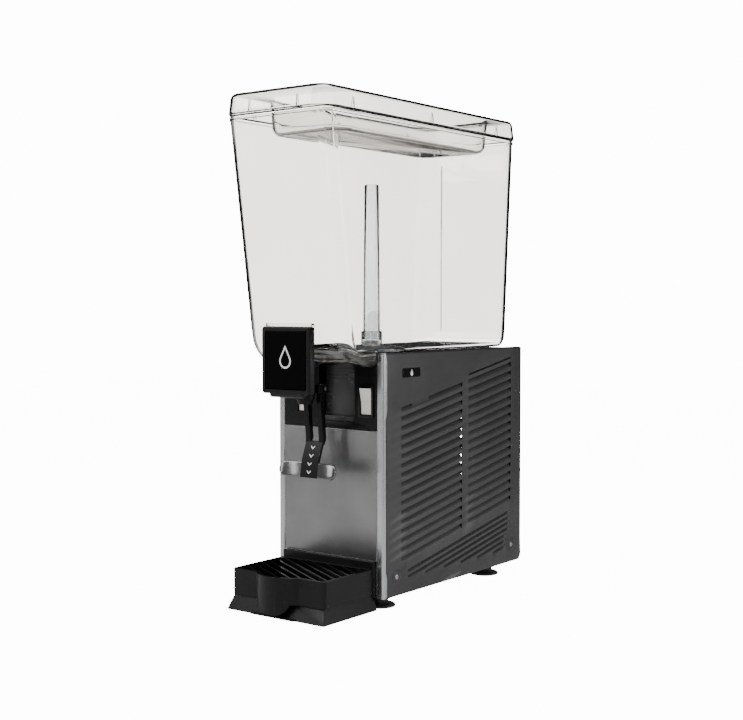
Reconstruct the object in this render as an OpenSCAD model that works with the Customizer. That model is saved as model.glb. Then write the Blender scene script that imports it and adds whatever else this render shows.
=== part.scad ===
// Refrigerated juice dispenser with one bowl, a spray tube, a push-lever tap and a drip tray.
// X runs across the front, Y from front to back, Z up. Millimetres.

/* [Body] */
// Width of the housing
body_w = 180; // [150:1:220]
// Depth of the housing, front face to rear edge
body_d = 350; // [300:1:420]
// Height of the top deck above the counter
body_h = 336.6; // [290:0.1:400]
// Thickness of the sheet metal
sheet_t = 1.2; // [0.8:0.1:2]
// Width of the bright strip on each side of the front
strip_w = 10.5; // [8:0.5:14]
// Depth of the front frame, front face to side panel
frame_d = 9.6; // [7:0.1:14]
// Height of the lower edge of the front panel
panel_z = 64; // [50:1:80]
// Height where the front panel meets the control panel
control_z = 235.4; // [215:0.1:250]
// Height of the feet under the housing
foot_h = 14.5; // [10:0.5:25]
// Radius of a foot's pad
foot_r = 21; // [14:0.5:24]
// Distance of the feet from the sides
foot_inset = 22; // [22:1:34]

/* [Louvres] */
// Rise of the louvres towards the rear, degrees
louvre_slope = 10.3; // [0:0.1:15]
// Vertical distance from one louvre to the next
louvre_pitch = 12.5; // [11:0.1:14]
// Height of a louvre's open gap
louvre_gap = 4.2; // [2.5:0.1:6]
// Number of louvres in the front column
louvre_count = 17; // [6:1:17]

/* [Bowl] */
// Width of the bowl
bowl_w = 171; // [150:1:190]
// Height of the bowl, deck to rim
bowl_h = 308; // [220:1:340]
// How far the bowl's rim reaches in front of the housing
bowl_front = 111; // [95:1:130]
// Gap from the bowl's rim to the housing's rear edge
bowl_rear = 2.5; // [1:0.5:12]
// Thickness of the bowl's wall
bowl_t = 3; // [2:0.1:4]
// Height of the lid above the bowl's rim
lid_h = 27.7; // [20:0.1:35]
// Depth of the well in the lid
lid_well = 47; // [20:1:55]
// Thickness of the lid's wall
lid_t = 2.5; // [1.5:0.1:3]

/* [Spray pump] */
// Distance of the pump's axis behind the front face
pump_y = 91.5; // [80:0.5:130]
// Radius of the cold dome in the bowl's floor
dome_r = 50; // [40:1:56]
// Height of the cold dome above the deck
dome_h = 6.5; // [4:0.5:12]
// Outer radius of the spray tube
tube_r = 11.5; // [9:0.1:14]
// Height of the spray tube's top above the deck
tube_h = 229; // [120:1:240]

/* [Tap] */
// Distance of the tap's axis in front of the front face
tap_y = 50; // [46:0.5:56]
// Radius of the ribbed nut
nut_r = 18; // [17:0.5:22]
// Radius of the piston
piston_r = 7.95; // [6.5:0.05:8.5]
// Width of the tap cover
cover_w = 81; // [60:1:90]
// Height of the tap cover
cover_h = 87; // [70:1:95]
// Width of the lever's paddle
paddle_w = 95; // [70:1:100]
// Length of the lever, pin to the paddle's lower edge
lever_len = 118; // [95:1:125]

/* [Drip tray] */
// Width of the drip tray
tray_w = 156; // [130:1:170]
// How far the tray's box reaches in front of the housing
tray_reach = 107; // [95:1:120]
// Height of the tray's rim
tray_z = 54; // [46:1:60]
// Thickness of the tray's walls
tray_t = 2.5; // [1.5:0.1:3.5]
// How far the round lobe stands in front of the tray's box
lobe_out = 15; // [8:1:20]

/* [Hidden] */
$fn = 48;
gap = 0.3;            // clearance between pieces that move past each other
fit = 0.05;           // radial clearance of a shaft in its bore
seat = 0.2;           // clearance between pieces that are fastened together
hw = body_w / 2;
panel_hw = hw - strip_w;
side_x = hw - sheet_t;
inner_hw = side_x - seat;
base_top = foot_h + 2;
deck_t = 2;
deck_z = body_h - deck_t;
lobe_front = tray_reach + lobe_out;
front_most = max(lobe_front, bowl_front + 5);
shift_y = (front_most - body_d) / 2;
bowl_z = body_h + 1.9;
rim_z = body_h + bowl_h + 0.4;
lid_top = rim_z + lid_h;
tube_top = body_h + tube_h;

// ---- shared shapes ----

// Moves a piece from the housing's own frame to the middle of the whole machine
module placed() translate([0, shift_y, 0]) children();

// A block given by its two opposite corners
module block(low, high) translate(low) cube(high - low);

// An outline in the Y-Z plane, made thick along X from x0 to x1
module along_x(x0, x1) translate([x0, 0, 0]) rotate([90, 0, 90]) linear_extrude(x1 - x0) children();

// An outline in the X-Z plane, made thick along Y from y0 to y1
module along_y(y0, y1) translate([0, y1, 0]) rotate([90, 0, 0]) linear_extrude(y1 - y0) children();

// A rectangle with round corners, given by its two opposite corners
module round_rect(low, high, r) {
    translate([low[0] + r, low[1]]) square([high[0] - low[0] - 2 * r, high[1] - low[1]]);
    translate([low[0], low[1] + r]) square([high[0] - low[0], high[1] - low[1] - 2 * r]);
    for (x = [low[0] + r, high[0] - r], y = [low[1] + r, high[1] - r]) translate([x, y]) circle(r);
}

// A round rod along X
module rod_x(x0, x1, r) translate([x0, 0, 0]) rotate([0, 90, 0]) cylinder(h = x1 - x0, r = r);

// A round rod along Y
module rod_y(y0, y1, r) translate([0, y1, 0]) rotate([90, 0, 0]) cylinder(h = y1 - y0, r = r);

// A pipe through a list of points, mitred at each bend: the first ring is carried along the route
pipe_sides = 10;
function turn_plane(points, i) = i == len(points) - 1 ? unit(points[i] - points[i - 1])
    : unit(points[i] - points[i - 1]) + unit(points[i + 1] - points[i]);
function unit(v) = v / norm(v);
function first_ring(points, r) = let (d = unit(points[1] - points[0]),
    side = abs(d[2]) > 0.9 ? [1, 0, 0] : [0, 0, 1], u = unit(cross(d, side)), v = cross(d, u))
    [for (j = [0 : pipe_sides - 1])
        points[0] + r * (u * cos(360 * j / pipe_sides) + v * sin(360 * j / pipe_sides))];
function next_ring(ring, d, p, n) = [for (q = ring) q + d * ((p - q) * n) / (d * n)];
function rings(points, ring, i = 1) = i == len(points) ? [ring]
    : concat([ring], rings(points, next_ring(ring, points[i] - points[i - 1], points[i],
                                             turn_plane(points, i)), i + 1));

module pipe(points, r) {
    all_rings = rings(points, first_ring(points, r));
    m = pipe_sides;
    walls = [for (i = [0 : len(points) - 2], j = [0 : m - 1])
        [m * i + j, m * i + m + j, m * i + m + (j + 1) % m, m * i + (j + 1) % m]];
    ends = [[for (j = [0 : m - 1]) j], [for (j = [m - 1 : -1 : 0]) m * (len(points) - 1) + j]];
    polyhedron([for (ring = all_rings) each ring], concat(walls, ends));
}

// ---- housing ----

rear_y = body_d - 3.2;              // front face of the rear panel
rear_foot_y = body_d - 69;
foot_x = hw - foot_inset;
stud_r = 4;
comp_y = body_d - 95;               // middle of the compressor
comp_bolt = [52, 40];               // half spacing of the compressor's bolts
bolt_r = 3;
pan_wall = 18;

module base_pan() color("silver") placed() difference() {
    block([-inner_hw, frame_d + seat, foot_h], [inner_hw, rear_y - seat, foot_h + pan_wall]);
    block([-inner_hw + sheet_t, frame_d + seat + sheet_t, foot_h + sheet_t],
          [inner_hw - sheet_t, rear_y - seat - sheet_t, foot_h + pan_wall + 1]);
    for (x = [-foot_x, foot_x], y = [foot_inset, rear_foot_y])
        translate([x, y, foot_h - 1]) cylinder(h = sheet_t + 2, r = stud_r + seat);
    for (x = [-comp_bolt[0], comp_bolt[0]], y = [-comp_bolt[1], comp_bolt[1]])
        translate([x, comp_y + y, foot_h - 1]) cylinder(h = sheet_t + 2, r = bolt_r + seat);
}

module feet() color("black") placed()
    for (x = [-foot_x, foot_x], y = [foot_inset, rear_foot_y]) translate([x, y, 0]) {
        cylinder(h = 6, r = foot_r);
        cylinder(h = foot_h - 0.05, r = foot_r * 2 / 3);
        cylinder(h = foot_h + sheet_t + 6, r = stud_r);
    }

// One bright strip: front face, side flange and inner return of one folded sheet
module strip_outline(side) mirror([side < 0 ? 1 : 0, 0]) difference() {
    round_rect([panel_hw, 0], [hw, frame_d + 4], 3);
    translate([panel_hw + sheet_t, sheet_t]) square([strip_w - 2 * sheet_t, frame_d + 4]);
    translate([panel_hw - 1, frame_d]) square([strip_w + 2, 6]);
}

module front_frame() color("gainsboro") placed() {
    for (side = [-1, 1])
        translate([0, 0, foot_h]) linear_extrude(body_h - foot_h) strip_outline(side);
    block([-panel_hw - 2, 0, foot_h], [panel_hw + 2, sheet_t, panel_z]);
    block([-panel_hw - 2, 0, foot_h], [panel_hw + 2, frame_d, foot_h + sheet_t]);
}

panel_edge = panel_hw - seat;

module front_panel() color("gray") placed() difference() {
    block([-panel_edge, seat, panel_z + seat], [panel_edge, frame_d - 1, control_z - seat]);
    block([-panel_edge + sheet_t, seat + sheet_t, panel_z], [panel_edge - sheet_t, frame_d, control_z]);
}

// The niche behind the tap
niche = [-20, 42];                  // left and right side
niche_z = [244, 322];
niche_depth = 18;
moulding_t = 2.5;
// The two rocker switches
rocker_x = [-45, 62];
rocker_z = 274;
rocker_hw = 9;
rocker_hh = 17.5;
rocker_pivot = 5;                   // depth of the rocker's pivot
trunnion_r = 1.5;
rocker_tilt = 8;                    // tilt to either side, degrees
switch_hw = rocker_hw + 1.6;
switch_hh = rocker_hh + 2.6;

module control_panel() color([0.13, 0.13, 0.14]) placed() difference() {
    union() {
        block([-panel_edge, 0, control_z + seat], [panel_edge, moulding_t, deck_z - seat]);
        block([niche[0] - moulding_t, 0, niche_z[0] - moulding_t],
              [niche[1] + moulding_t, niche_depth + moulding_t, niche_z[1] + moulding_t]);
    }
    along_y(-1, niche_depth) round_rect([niche[0], niche_z[0]], [niche[1], niche_z[1]], 8);
    for (x = rocker_x)
        block([x - switch_hw - seat, -1, rocker_z - switch_hh - seat],
              [x + switch_hw + seat, moulding_t + 1, rocker_z + switch_hh + seat]);
}

module switch_bodies() color("black") placed() for (x = rocker_x) translate([x, 0, rocker_z])
    difference() {
        union() {
            block([-switch_hw, -1, -switch_hh], [switch_hw, 20, switch_hh]);
            along_y(-2, -0.05)
                round_rect([-switch_hw - 2, -switch_hh - 2], [switch_hw + 2, switch_hh + 2], 2);
        }
        block([-rocker_hw - gap, -3, -rocker_hh - 1.4], [rocker_hw + gap, 14, rocker_hh + 1.4]);
        translate([0, rocker_pivot, 0]) rod_x(-rocker_hw - 1, rocker_hw + 1, trunnion_r + fit);
    }

module rocker(x) placed() translate([x, rocker_pivot, rocker_z]) rotate([rocker_tilt, 0, 0]) {
    along_x(-rocker_hw, rocker_hw)
        polygon([[-6, -rocker_hh], [-4.6, 0], [-6, rocker_hh], [1, rocker_hh - 1], [5, 4], [5, -4],
                 [1, 1 - rocker_hh]]);
    rod_x(-rocker_hw - 0.8, rocker_hw + 0.8, trunnion_r);
}

module power_rocker() color("white") rocker(rocker_x[1]);

module pump_rocker() color("white") rocker(rocker_x[0]);

// The louvres: two columns of sloping gaps with a plain divider between them
louvre_top = body_h - 80;           // height of the first gap where it would meet the front face
divider_y = body_d / 2 + 20;
divider_hw = 8;
columns = [[40, divider_y - divider_hw], [divider_y + divider_hw, body_d - 31]];
rise = tan(louvre_slope);
corner_r = 12;                      // lower rear corner of a side panel

module louvre_slot(y0, y1, z, h) polygon([for (p = [[y0, -h], [y1, -h], [y1, 0], [y0, 0]])
    [p[0], z + rise * p[0] + p[1]]]);

module side_outline() difference() {
    union() {
        translate([frame_d + seat, foot_h]) square([body_d - frame_d - seat - corner_r, body_h - foot_h]);
        translate([frame_d + seat, foot_h + corner_r])
            square([body_d - frame_d - seat, body_h - foot_h - corner_r]);
        translate([body_d - corner_r, foot_h + corner_r]) circle(corner_r);
    }
    for (column = columns, i = [0 : louvre_count - 1])
        louvre_slot(column[0], column[1], louvre_top - i * louvre_pitch, louvre_gap);
    louvre_slot(columns[1][0], columns[1][1], louvre_top + 8, louvre_gap / 2);
    for (y = [30, body_d - 28.4]) translate([y, foot_h + 25.5]) circle(screw_r + seat);
}

screw_r = 2;

module side_panel_right() color("dimgray") placed() along_x(side_x, hw) side_outline();

module side_panel_left() color("dimgray") placed() along_x(-hw, -side_x) side_outline();

module panel_screws() color("silver") placed()
    for (side = [-1, 1], y = [30, body_d - 28.4]) translate([side * hw, y, foot_h + 25.5])
        rotate([0, -90 * side, 0]) {
            cylinder(h = 8, r = screw_r);
            translate([0, 0, sheet_t + seat]) cylinder(h = 3, r = 4);
            translate([0, 0, -0.05]) cylinder(h = 0.05, r = screw_r);
        }

badge_t = 0.8;
badge_y = 62.7;

module side_badges() color("black") placed() for (x = [-hw - badge_t - 0.05, hw + 0.05])
    translate([0, badge_y, body_h - 27]) along_x(x, x + badge_t)
        round_rect([-20, -6.2], [20, 6.2], 2);

inlet_x = -42;
inlet_z = 100;
stat_x = 40;
stat_z = 250;
inlet_hole = [14, 10.5];            // half width and half height

module rear_panel() color("silver") placed() difference() {
    block([-inner_hw, rear_y, foot_h + seat], [inner_hw, rear_y + sheet_t, deck_z - seat]);
    for (i = [0 : 9])
        along_y(rear_y - 1, rear_y + 3)
            round_rect([-60, foot_h + 118 + 10 * i], [18, foot_h + 122 + 10 * i], 1.9);
    block([inlet_x - inlet_hole[0] - seat, rear_y - 1, inlet_z - inlet_hole[1] - seat],
          [inlet_x + inlet_hole[0] + seat, rear_y + 3, inlet_z + inlet_hole[1] + seat]);
    translate([stat_x, 0, stat_z]) rod_y(rear_y - 1, rear_y + 3, 6);
}

module top_deck() color("silver") placed() difference() {
    union() {
        block([-panel_edge, 0, deck_z], [panel_edge, frame_d + 2, body_h]);
        block([-inner_hw, frame_d + seat, deck_z], [inner_hw, body_d - 1, body_h]);
    }
    translate([0, pump_y, deck_z - 1]) cylinder(h = deck_t + 2, r = dome_r + seat);
}

module cross_brace() color("silver") placed() translate([0, body_d - 130, 0]) difference() {
    block([-inner_hw, 0, deck_z - 22], [inner_hw, 20, deck_z - seat]);
    block([-inner_hw - 1, sheet_t, deck_z - 22 + sheet_t], [inner_hw + 1, 21, deck_z - seat - sheet_t]);
}

// ---- cooling ----

coil_r = 4;
coil_rings = [dome_r - 19, dome_r - 9];
coil_z = deck_z - 2;
stub_x = dome_r - 14;
magnet_r = dome_r - 30;
foam_low = deck_z - 34;
foam_hw = 78;
dome_wall_z = deck_z - 9;

module insulation() color("wheat") placed() difference() {
    block([-foam_hw, 24, foam_low], [foam_hw, pump_y + 100, deck_z - seat]);
    translate([0, pump_y, dome_wall_z - 1]) cylinder(h = 20, r = dome_r + seat);
    translate([0, pump_y, foam_low - 1]) cylinder(h = 40, r = magnet_r + 4);
    for (x = [-stub_x, stub_x]) translate([x, pump_y, foam_low - 1]) cylinder(h = 40, r = coil_r + 1);
}

// A shallow spun dome with a straight wall that reaches down through the deck
dome_top = body_h + dome_h;
dome_skin = 1.2;
dome_flat = 17;                     // radius of the level middle

module dome_half(inset) polygon([[0, dome_wall_z - 1], [dome_r - inset, dome_wall_z - 1],
    [dome_r - inset, body_h + 2.4 - inset], [dome_r - 2, body_h + 3.6 - inset],
    [dome_flat, dome_top - inset], [0, dome_top - inset]]);

module evaporator_dome() color("lightsteelblue") placed() translate([0, pump_y, 0]) difference() {
    rotate_extrude() dome_half(0);
    rotate_extrude() dome_half(dome_skin);
    translate([0, 0, dome_wall_z - 2]) cylinder(h = 2, r = dome_r + 1);
}

module evaporator_coil() color("peru") placed() translate([0, pump_y, 0]) {
    for (r = coil_rings) translate([0, 0, coil_z]) rotate_extrude() translate([r, 0]) circle(coil_r);
    for (x = [-stub_x, stub_x]) translate([x, 0, foam_low - 4])
        cylinder(h = coil_z - foam_low + 4, r = coil_r);
}

module evaporator_gasket() color("black") placed() translate([0, pump_y, 0]) rotate_extrude()
    translate([dome_r + 0.1, body_h + 0.05]) square([8 - gap, 3.4]);

comp_r = 48;
comp_z = foot_h + 14;               // underside of the compressor's plate
comp_h = 112;

module compressor() color([0.1, 0.1, 0.1]) placed() translate([0, comp_y, comp_z]) {
    rotate_extrude() intersection() {
        round_rect([-comp_r, 2], [comp_r, comp_h], 22);
        square([comp_r + 1, comp_h + 1]);
    }
    difference() {
        block([-62, -50, 0], [62, 50, 3]);
        for (x = [-comp_bolt[0], comp_bolt[0]], y = [-comp_bolt[1], comp_bolt[1]])
            translate([x, y, -1]) cylinder(h = 5, r = bolt_r + 1.5);
    }
    for (x = [-22, 22]) translate([x, 0, comp_h - 12]) cylinder(h = 24, r = 5);
}

module compressor_grommets() color("black") placed()
    for (x = [-comp_bolt[0], comp_bolt[0]], y = [-comp_bolt[1], comp_bolt[1]])
        translate([x, comp_y + y, foot_h + sheet_t]) difference() {
            cylinder(h = comp_z - foot_h - sheet_t - 0.05, r = 9);
            translate([0, 0, -1]) cylinder(h = 20, r = bolt_r + seat);
        }

module compressor_bolts() color("silver") placed()
    for (x = [-comp_bolt[0], comp_bolt[0]], y = [-comp_bolt[1], comp_bolt[1]])
        translate([x, comp_y + y, 0]) {
            translate([0, 0, foot_h - 0.05]) cylinder(h = comp_z - foot_h + 10, r = bolt_r);
            translate([0, 0, foot_h - 3]) cylinder(h = 2.9, r = 6, $fn = 6);
            translate([0, 0, comp_z + 3.1]) cylinder(h = 5, r = 6, $fn = 6);
        }

module start_relay() color("ivory") placed()
    block([comp_r + seat, comp_y - 18, comp_z + 34], [comp_r + 24, comp_y + 18, comp_z + 74]);

fan_z = foot_h + 96;
fan_r = 56;
cond_y = [24, 44];
cond_hw = 74;
cond_z = [foot_h + 20, foot_h + 172];
fin_count = 25;
tube_rows = 8;

module condenser() color("silver") placed() {
    row = (cond_z[1] - cond_z[0]) / tube_rows;
    for (i = [0 : fin_count - 1]) {
        x = -cond_hw + 4 + i * (2 * cond_hw - 8) / (fin_count - 1);
        block([x - 0.4, cond_y[0], cond_z[0]], [x + 0.4, cond_y[1], cond_z[1]]);
    }
    for (i = [0 : tube_rows - 1])
        translate([0, (cond_y[0] + cond_y[1]) / 2, cond_z[0] + row * (i + 0.5)])
            rod_x(-cond_hw, cond_hw, 3);
    block([-cond_hw + 3, cond_y[0], cond_z[0] - 2], [cond_hw - 3, cond_y[1], cond_z[0]]);
}

shroud_y = [cond_y[1] + 1, cond_y[1] + 16];

module fan_shroud() color([0.15, 0.15, 0.15]) placed() difference() {
    block([-cond_hw, shroud_y[0], fan_z - 76], [cond_hw, shroud_y[1], fan_z + 76]);
    translate([0, 0, fan_z]) rod_y(shroud_y[0] - 1, shroud_y[1] + 1, fan_r + 3);
}

bracket_y = shroud_y[1] + 5;
motor_y = bracket_y + 2.2;
shaft_r = 3;

module fan_bracket() color("silver") placed() difference() {
    union() {
        block([-cond_hw, bracket_y, fan_z - 7], [cond_hw, bracket_y + 2, fan_z + 7]);
        translate([0, 0, fan_z]) rod_y(bracket_y, bracket_y + 2, 26);
        for (side = [-1, 1])
            block([side * (cond_hw - 4) - 4, shroud_y[1] + 0.05, fan_z - 7],
                  [side * (cond_hw - 4) + 4, bracket_y + 1, fan_z + 7]);
    }
    translate([0, 0, fan_z]) rod_y(bracket_y - 1, bracket_y + 3, 8);
}

module fan_motor() color("dimgray") placed() translate([0, 0, fan_z]) difference() {
    union() {
        rod_y(motor_y, motor_y + 38, 25);
        rod_y(motor_y + 37, motor_y + 42, 12);
    }
    rod_y(motor_y - 1, motor_y + 22, shaft_r + fit);
}

module fan_blade() color("gainsboro") placed() translate([0, 0, fan_z]) {
    rod_y(shroud_y[0] + 2, motor_y + 20, shaft_r);
    rod_y(shroud_y[0] + 2, shroud_y[1], 15);
    for (i = [0 : 4]) rotate([0, 72 * i, 0]) intersection() {
        translate([0, shroud_y[0] + 8, 0]) rotate([0, 0, 28]) block([-14, -1, 10], [14, 1, fan_r]);
        rod_y(shroud_y[0] + 1, shroud_y[1], fan_r);
    }
}

drier = [-66, body_d - 195];
drier_z = foot_h + 44;

module filter_drier() color("peru") placed() translate([drier[0], drier[1], drier_z]) {
    cylinder(h = 60, r = 9);
    translate([0, 0, -8]) cylinder(h = 76, r = 4);
}

module capillary_tube() color("peru") placed()
    pipe([[drier[0], drier[1], drier_z + 68], [drier[0], drier[1], foam_low - 30],
          [-stub_x, pump_y + 24, foam_low - 9], [-stub_x, pump_y, foam_low - 9],
          [-stub_x, pump_y, foam_low - 4]], 1.6);

module suction_pipe() color("peru") placed()
    pipe([[stub_x, pump_y, foam_low - 4], [stub_x, pump_y, foam_low - 9],
          [stub_x, pump_y + 24, foam_low - 9], [22, comp_y, foam_low - 40],
          [22, comp_y, comp_z + comp_h + 12]], 4);

module discharge_pipe() color("peru") placed()
    pipe([[-22, comp_y, comp_z + comp_h + 12], [-22, comp_y, comp_z + comp_h + 30],
          [-80, comp_y - 60, comp_z + comp_h + 30], [-81, cond_y[1] + 40, cond_z[1] + 8],
          [-80, (cond_y[0] + cond_y[1]) / 2, cond_z[1] + 8],
          [-80, (cond_y[0] + cond_y[1]) / 2, cond_z[1] - 9.5],
          [-cond_hw - 0.1, (cond_y[0] + cond_y[1]) / 2, cond_z[1] - 9.5]], 3);

// ---- spray pump ----

pump_motor_z = [foot_h + 218, foot_h + 270];
magnet_z = [body_h - 10, body_h + 2];
bracket_top = pump_motor_z[1] + 2.4;

module pump_motor() color("dimgray") placed() translate([0, pump_y, 0]) difference() {
    union() {
        translate([0, 0, pump_motor_z[0]]) cylinder(h = pump_motor_z[1] - pump_motor_z[0], r = 30);
        translate([0, 0, pump_motor_z[0] - 8]) cylinder(h = 9, r = 12);
    }
    translate([0, 0, pump_motor_z[1] - 20]) cylinder(h = 21, r = shaft_r + fit);
}

module motor_bracket() color("silver") placed() difference() {
    union() {
        block([-inner_hw, pump_y - 26, pump_motor_z[1] + 0.2], [inner_hw, pump_y + 14, bracket_top]);
        for (side = [-1, 1])
            block([side * (inner_hw - 1) - 1, pump_y - 26, pump_motor_z[1] - 20],
                  [side * (inner_hw - 1) + 1, pump_y + 14, bracket_top]);
    }
    translate([0, pump_y, pump_motor_z[1] - 1]) cylinder(h = 6, r = 8);
}

module drive_magnet() color("dimgray") placed() translate([0, pump_y, 0]) {
    translate([0, 0, magnet_z[0]]) cylinder(h = magnet_z[1] - magnet_z[0], r = magnet_r);
    translate([0, 0, pump_motor_z[1] - 18]) cylinder(h = magnet_z[0] - pump_motor_z[1] + 19, r = shaft_r);
}

collar_r = tube_r + 3;
collar_t = 2;
collar_h = 20;

module impeller() color("white") placed() translate([0, pump_y, dome_top + gap]) {
    cylinder(h = 2, r = collar_r - collar_t - 0.6);
    for (i = [0 : 5]) rotate([0, 0, 60 * i]) block([3, -0.8, 1.5], [collar_r - collar_t - 1, 0.8, 7]);
    cylinder(h = 7, r = 4);
}

module pump_cover() color("lightsteelblue") placed() translate([0, pump_y, dome_top + 0.05]) difference() {
    cylinder(h = collar_h, r = collar_r);
    translate([0, 0, -1]) cylinder(h = 10, r = collar_r - collar_t);
    translate([0, 0, 8]) cylinder(h = collar_h, r = tube_r + 0.05);
    for (i = [0 : 3]) rotate([0, 0, 45 + 90 * i]) block([0, -2.5, -1], [collar_r + 1, 2.5, 3]);
}

module spray_tube() color("whitesmoke") placed()
    translate([0, pump_y, dome_top + 9.2]) difference() {
        cylinder(h = tube_top - dome_top - 9.2, r = tube_r);
        translate([0, 0, -1]) cylinder(h = tube_top - dome_top, r = tube_r - 2);
    }

// ---- electrical pieces ----

module power_inlet() color("black") placed() translate([inlet_x, 0, inlet_z]) difference() {
    union() {
        block([-inlet_hole[0], rear_y - 16, -inlet_hole[1]],
              [inlet_hole[0], rear_y + sheet_t + 1, inlet_hole[1]]);
        along_y(rear_y + sheet_t + 0.05, rear_y + sheet_t + 1.6) round_rect([-20, -14], [20, 14], 3);
    }
    block([-12, rear_y - 12, -8.5], [12, rear_y + 4, 8.5]);
}

module terminal_block() color("ivory") placed()
    block([inlet_x - 22, rear_y - 14, inlet_z + 30], [inlet_x + 22, rear_y - seat, inlet_z + 46]);

module thermostat() color("silver") placed() translate([stat_x, 0, stat_z]) difference() {
    block([-20, rear_y - 34, -18], [20, rear_y - seat, 18]);
    rod_y(rear_y - 20, rear_y, shaft_r + fit);
}

module thermostat_spindle() color("white") placed() translate([stat_x, 0, stat_z]) difference() {
    union() {
        rod_y(rear_y - 18, rear_y + 0.5, shaft_r);
        rod_y(rear_y + 0.4, rear_y + 2, 5.5);
    }
    block([-4, rear_y + 1.2, -0.5], [4, rear_y + 3, 0.5]);
}

// ---- bowl and lid ----

bowl_hw = bowl_w / 2;
sump_r = 50;                        // round front lower edge of the bowl
sump_y = -23;
sump_z = body_h + 33.4;
bowl_front_low = 73;                // the front wall's reach at the sump
rear_low = body_d - 20.5;
rear_r = 18;
sump_back = -3;                     // rear face of the sump, just in front of the housing
bore_r = 9;                         // outlet through the neck
neck_r = 12.5;
neck_z = body_h - 30.6;

// The bowl's closed form, drawn in by inset on every side but the top
module bowl_form(inset, over) hull() {
    for (x = [-1, 1]) {
        translate([x * (bowl_hw - 10), -bowl_front + 10, rim_z - 1])
            cylinder(h = 1 + over, r = 10 - inset, $fn = 32);
        translate([x * (bowl_hw - 28), body_d - bowl_rear - 28, rim_z - 1])
            cylinder(h = 1 + over, r = 28 - inset, $fn = 32);
    }
    translate([0, sump_y, sump_z])
        rod_x(-bowl_hw + 1 + inset, bowl_hw - 1 - inset, sump_r - inset, $fn = 64);
    translate([0, rear_low - rear_r, bowl_z + rear_r])
        rod_x(-bowl_hw + 2 + inset, bowl_hw - 2 - inset, rear_r - inset, $fn = 32);
}

module bowl() color([0.9, 0.9, 0.88, 0.4]) placed() difference() {
    union() {
        difference() {
            bowl_form(0, 0);
            block([-bowl_w, sump_back, 0], [bowl_w, body_d + 20, bowl_z]);
        }
        translate([0, -tap_y, neck_z]) cylinder(h = 34, r = neck_r);
        translate([0, 0, rim_z - 7]) linear_extrude(3)
            round_rect([-bowl_hw - 0.8, -bowl_front - 1.5], [bowl_hw + 0.8, body_d - bowl_rear + 0.5], 11);
    }
    difference() {
        bowl_form(bowl_t, 2);
        block([-bowl_w, sump_back - bowl_t, 0], [bowl_w, body_d + 20, bowl_z + bowl_t]);
    }
    translate([0, pump_y, bowl_z - 1]) cylinder(h = bowl_t + 2, r = dome_r + 8);
    translate([0, -tap_y, neck_z - 1]) cylinder(h = 50, r = bore_r);
}

lid_hw = bowl_hw + 1;
lid_front = bowl_front + 5;
lid_back = body_d - 2;
well = [[-64, -58], [64, body_d - 46]];  // corners of the well, inside its walls
well_r = 30;
well_z = lid_top - lid_well;

module lid() color([0.95, 0.95, 0.93, 0.4]) placed() difference() {
    union() {
        translate([0, 0, rim_z + gap]) linear_extrude(lid_top - rim_z - gap)
            round_rect([-lid_hw, -lid_front], [lid_hw, lid_back], 25);
        translate([0, 0, well_z - lid_t]) linear_extrude(lid_top - well_z)
            round_rect([well[0][0] - lid_t, well[0][1] - lid_t], [well[1][0] + lid_t, well[1][1] + lid_t],
                       well_r + lid_t);
    }
    difference() {
        translate([0, 0, rim_z - 1]) linear_extrude(lid_top - rim_z - lid_t + 1)
            round_rect([-lid_hw + lid_t, -lid_front + lid_t], [lid_hw - lid_t, lid_back - lid_t],
                       25 - lid_t);
        translate([0, 0, well_z - lid_t - 1]) linear_extrude(lid_top - well_z + 10)
            round_rect([well[0][0] - lid_t, well[0][1] - lid_t], [well[1][0] + lid_t, well[1][1] + lid_t],
                       well_r + lid_t);
    }
    translate([0, 0, well_z]) linear_extrude(lid_well + 1) round_rect(well[0], well[1], well_r);
}

// ---- tap ----

cover_y = tap_y + 40;               // reach of the tap cover's face
cover_z = body_h + 35.4 - cover_h;  // lower edge of the tap cover
carrier_y = [cover_y - 6.2, cover_y - 12.5];
cover_hw = cover_w / 2;

module cover_carrier() color([0.95, 0.95, 0.95, 0.5]) placed() {
    difference() {
        block([-cover_hw + 2, -carrier_y[0], cover_z + 6],
              [cover_hw - 2, -carrier_y[1], cover_z + cover_h + 4]);
        block([-cover_hw + 4, -carrier_y[0] + 2, cover_z], [cover_hw - 4, -carrier_y[1] + 1,
              cover_z + cover_h + 2]);
    }
    for (x = [-24, 24])
        block([x - 3, -carrier_y[0] + 1, sump_z - 5], [x + 3, -bowl_front_low - 1.2, sump_z + 1]);
}

module tap_cover() color([0.12, 0.12, 0.12]) placed() difference() {
    union() {
        along_y(-cover_y, -carrier_y[0] - 0.05)
            round_rect([-cover_hw, cover_z], [cover_hw, cover_z + cover_h], 4);
        translate([0, -cover_y + 5, cover_z]) rod_x(-cover_hw / 3 * 2, cover_hw / 3 * 2, 5);
    }
    along_y(-cover_y + 2.5, -carrier_y[0] + 1)
        round_rect([-cover_hw + 3, cover_z + 6], [cover_hw - 3, cover_z + cover_h - 3], 2);
    along_y(-cover_y - 1, -cover_y + 1)
        round_rect([-cover_hw + 7, cover_z + 7], [cover_hw - 7, cover_z + cover_h - 6], 2);
}

module label_plate() color("black") placed() along_y(-cover_y - 0.2, -cover_y + 0.95)
    round_rect([-cover_hw + 7 + seat, cover_z + 7 + seat],
               [cover_hw - 7 - seat, cover_z + cover_h - 6 - seat], 1.8);

nut_z = [body_h - 40.6, body_h - 16.8];
rib_r = 1.2;

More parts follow.
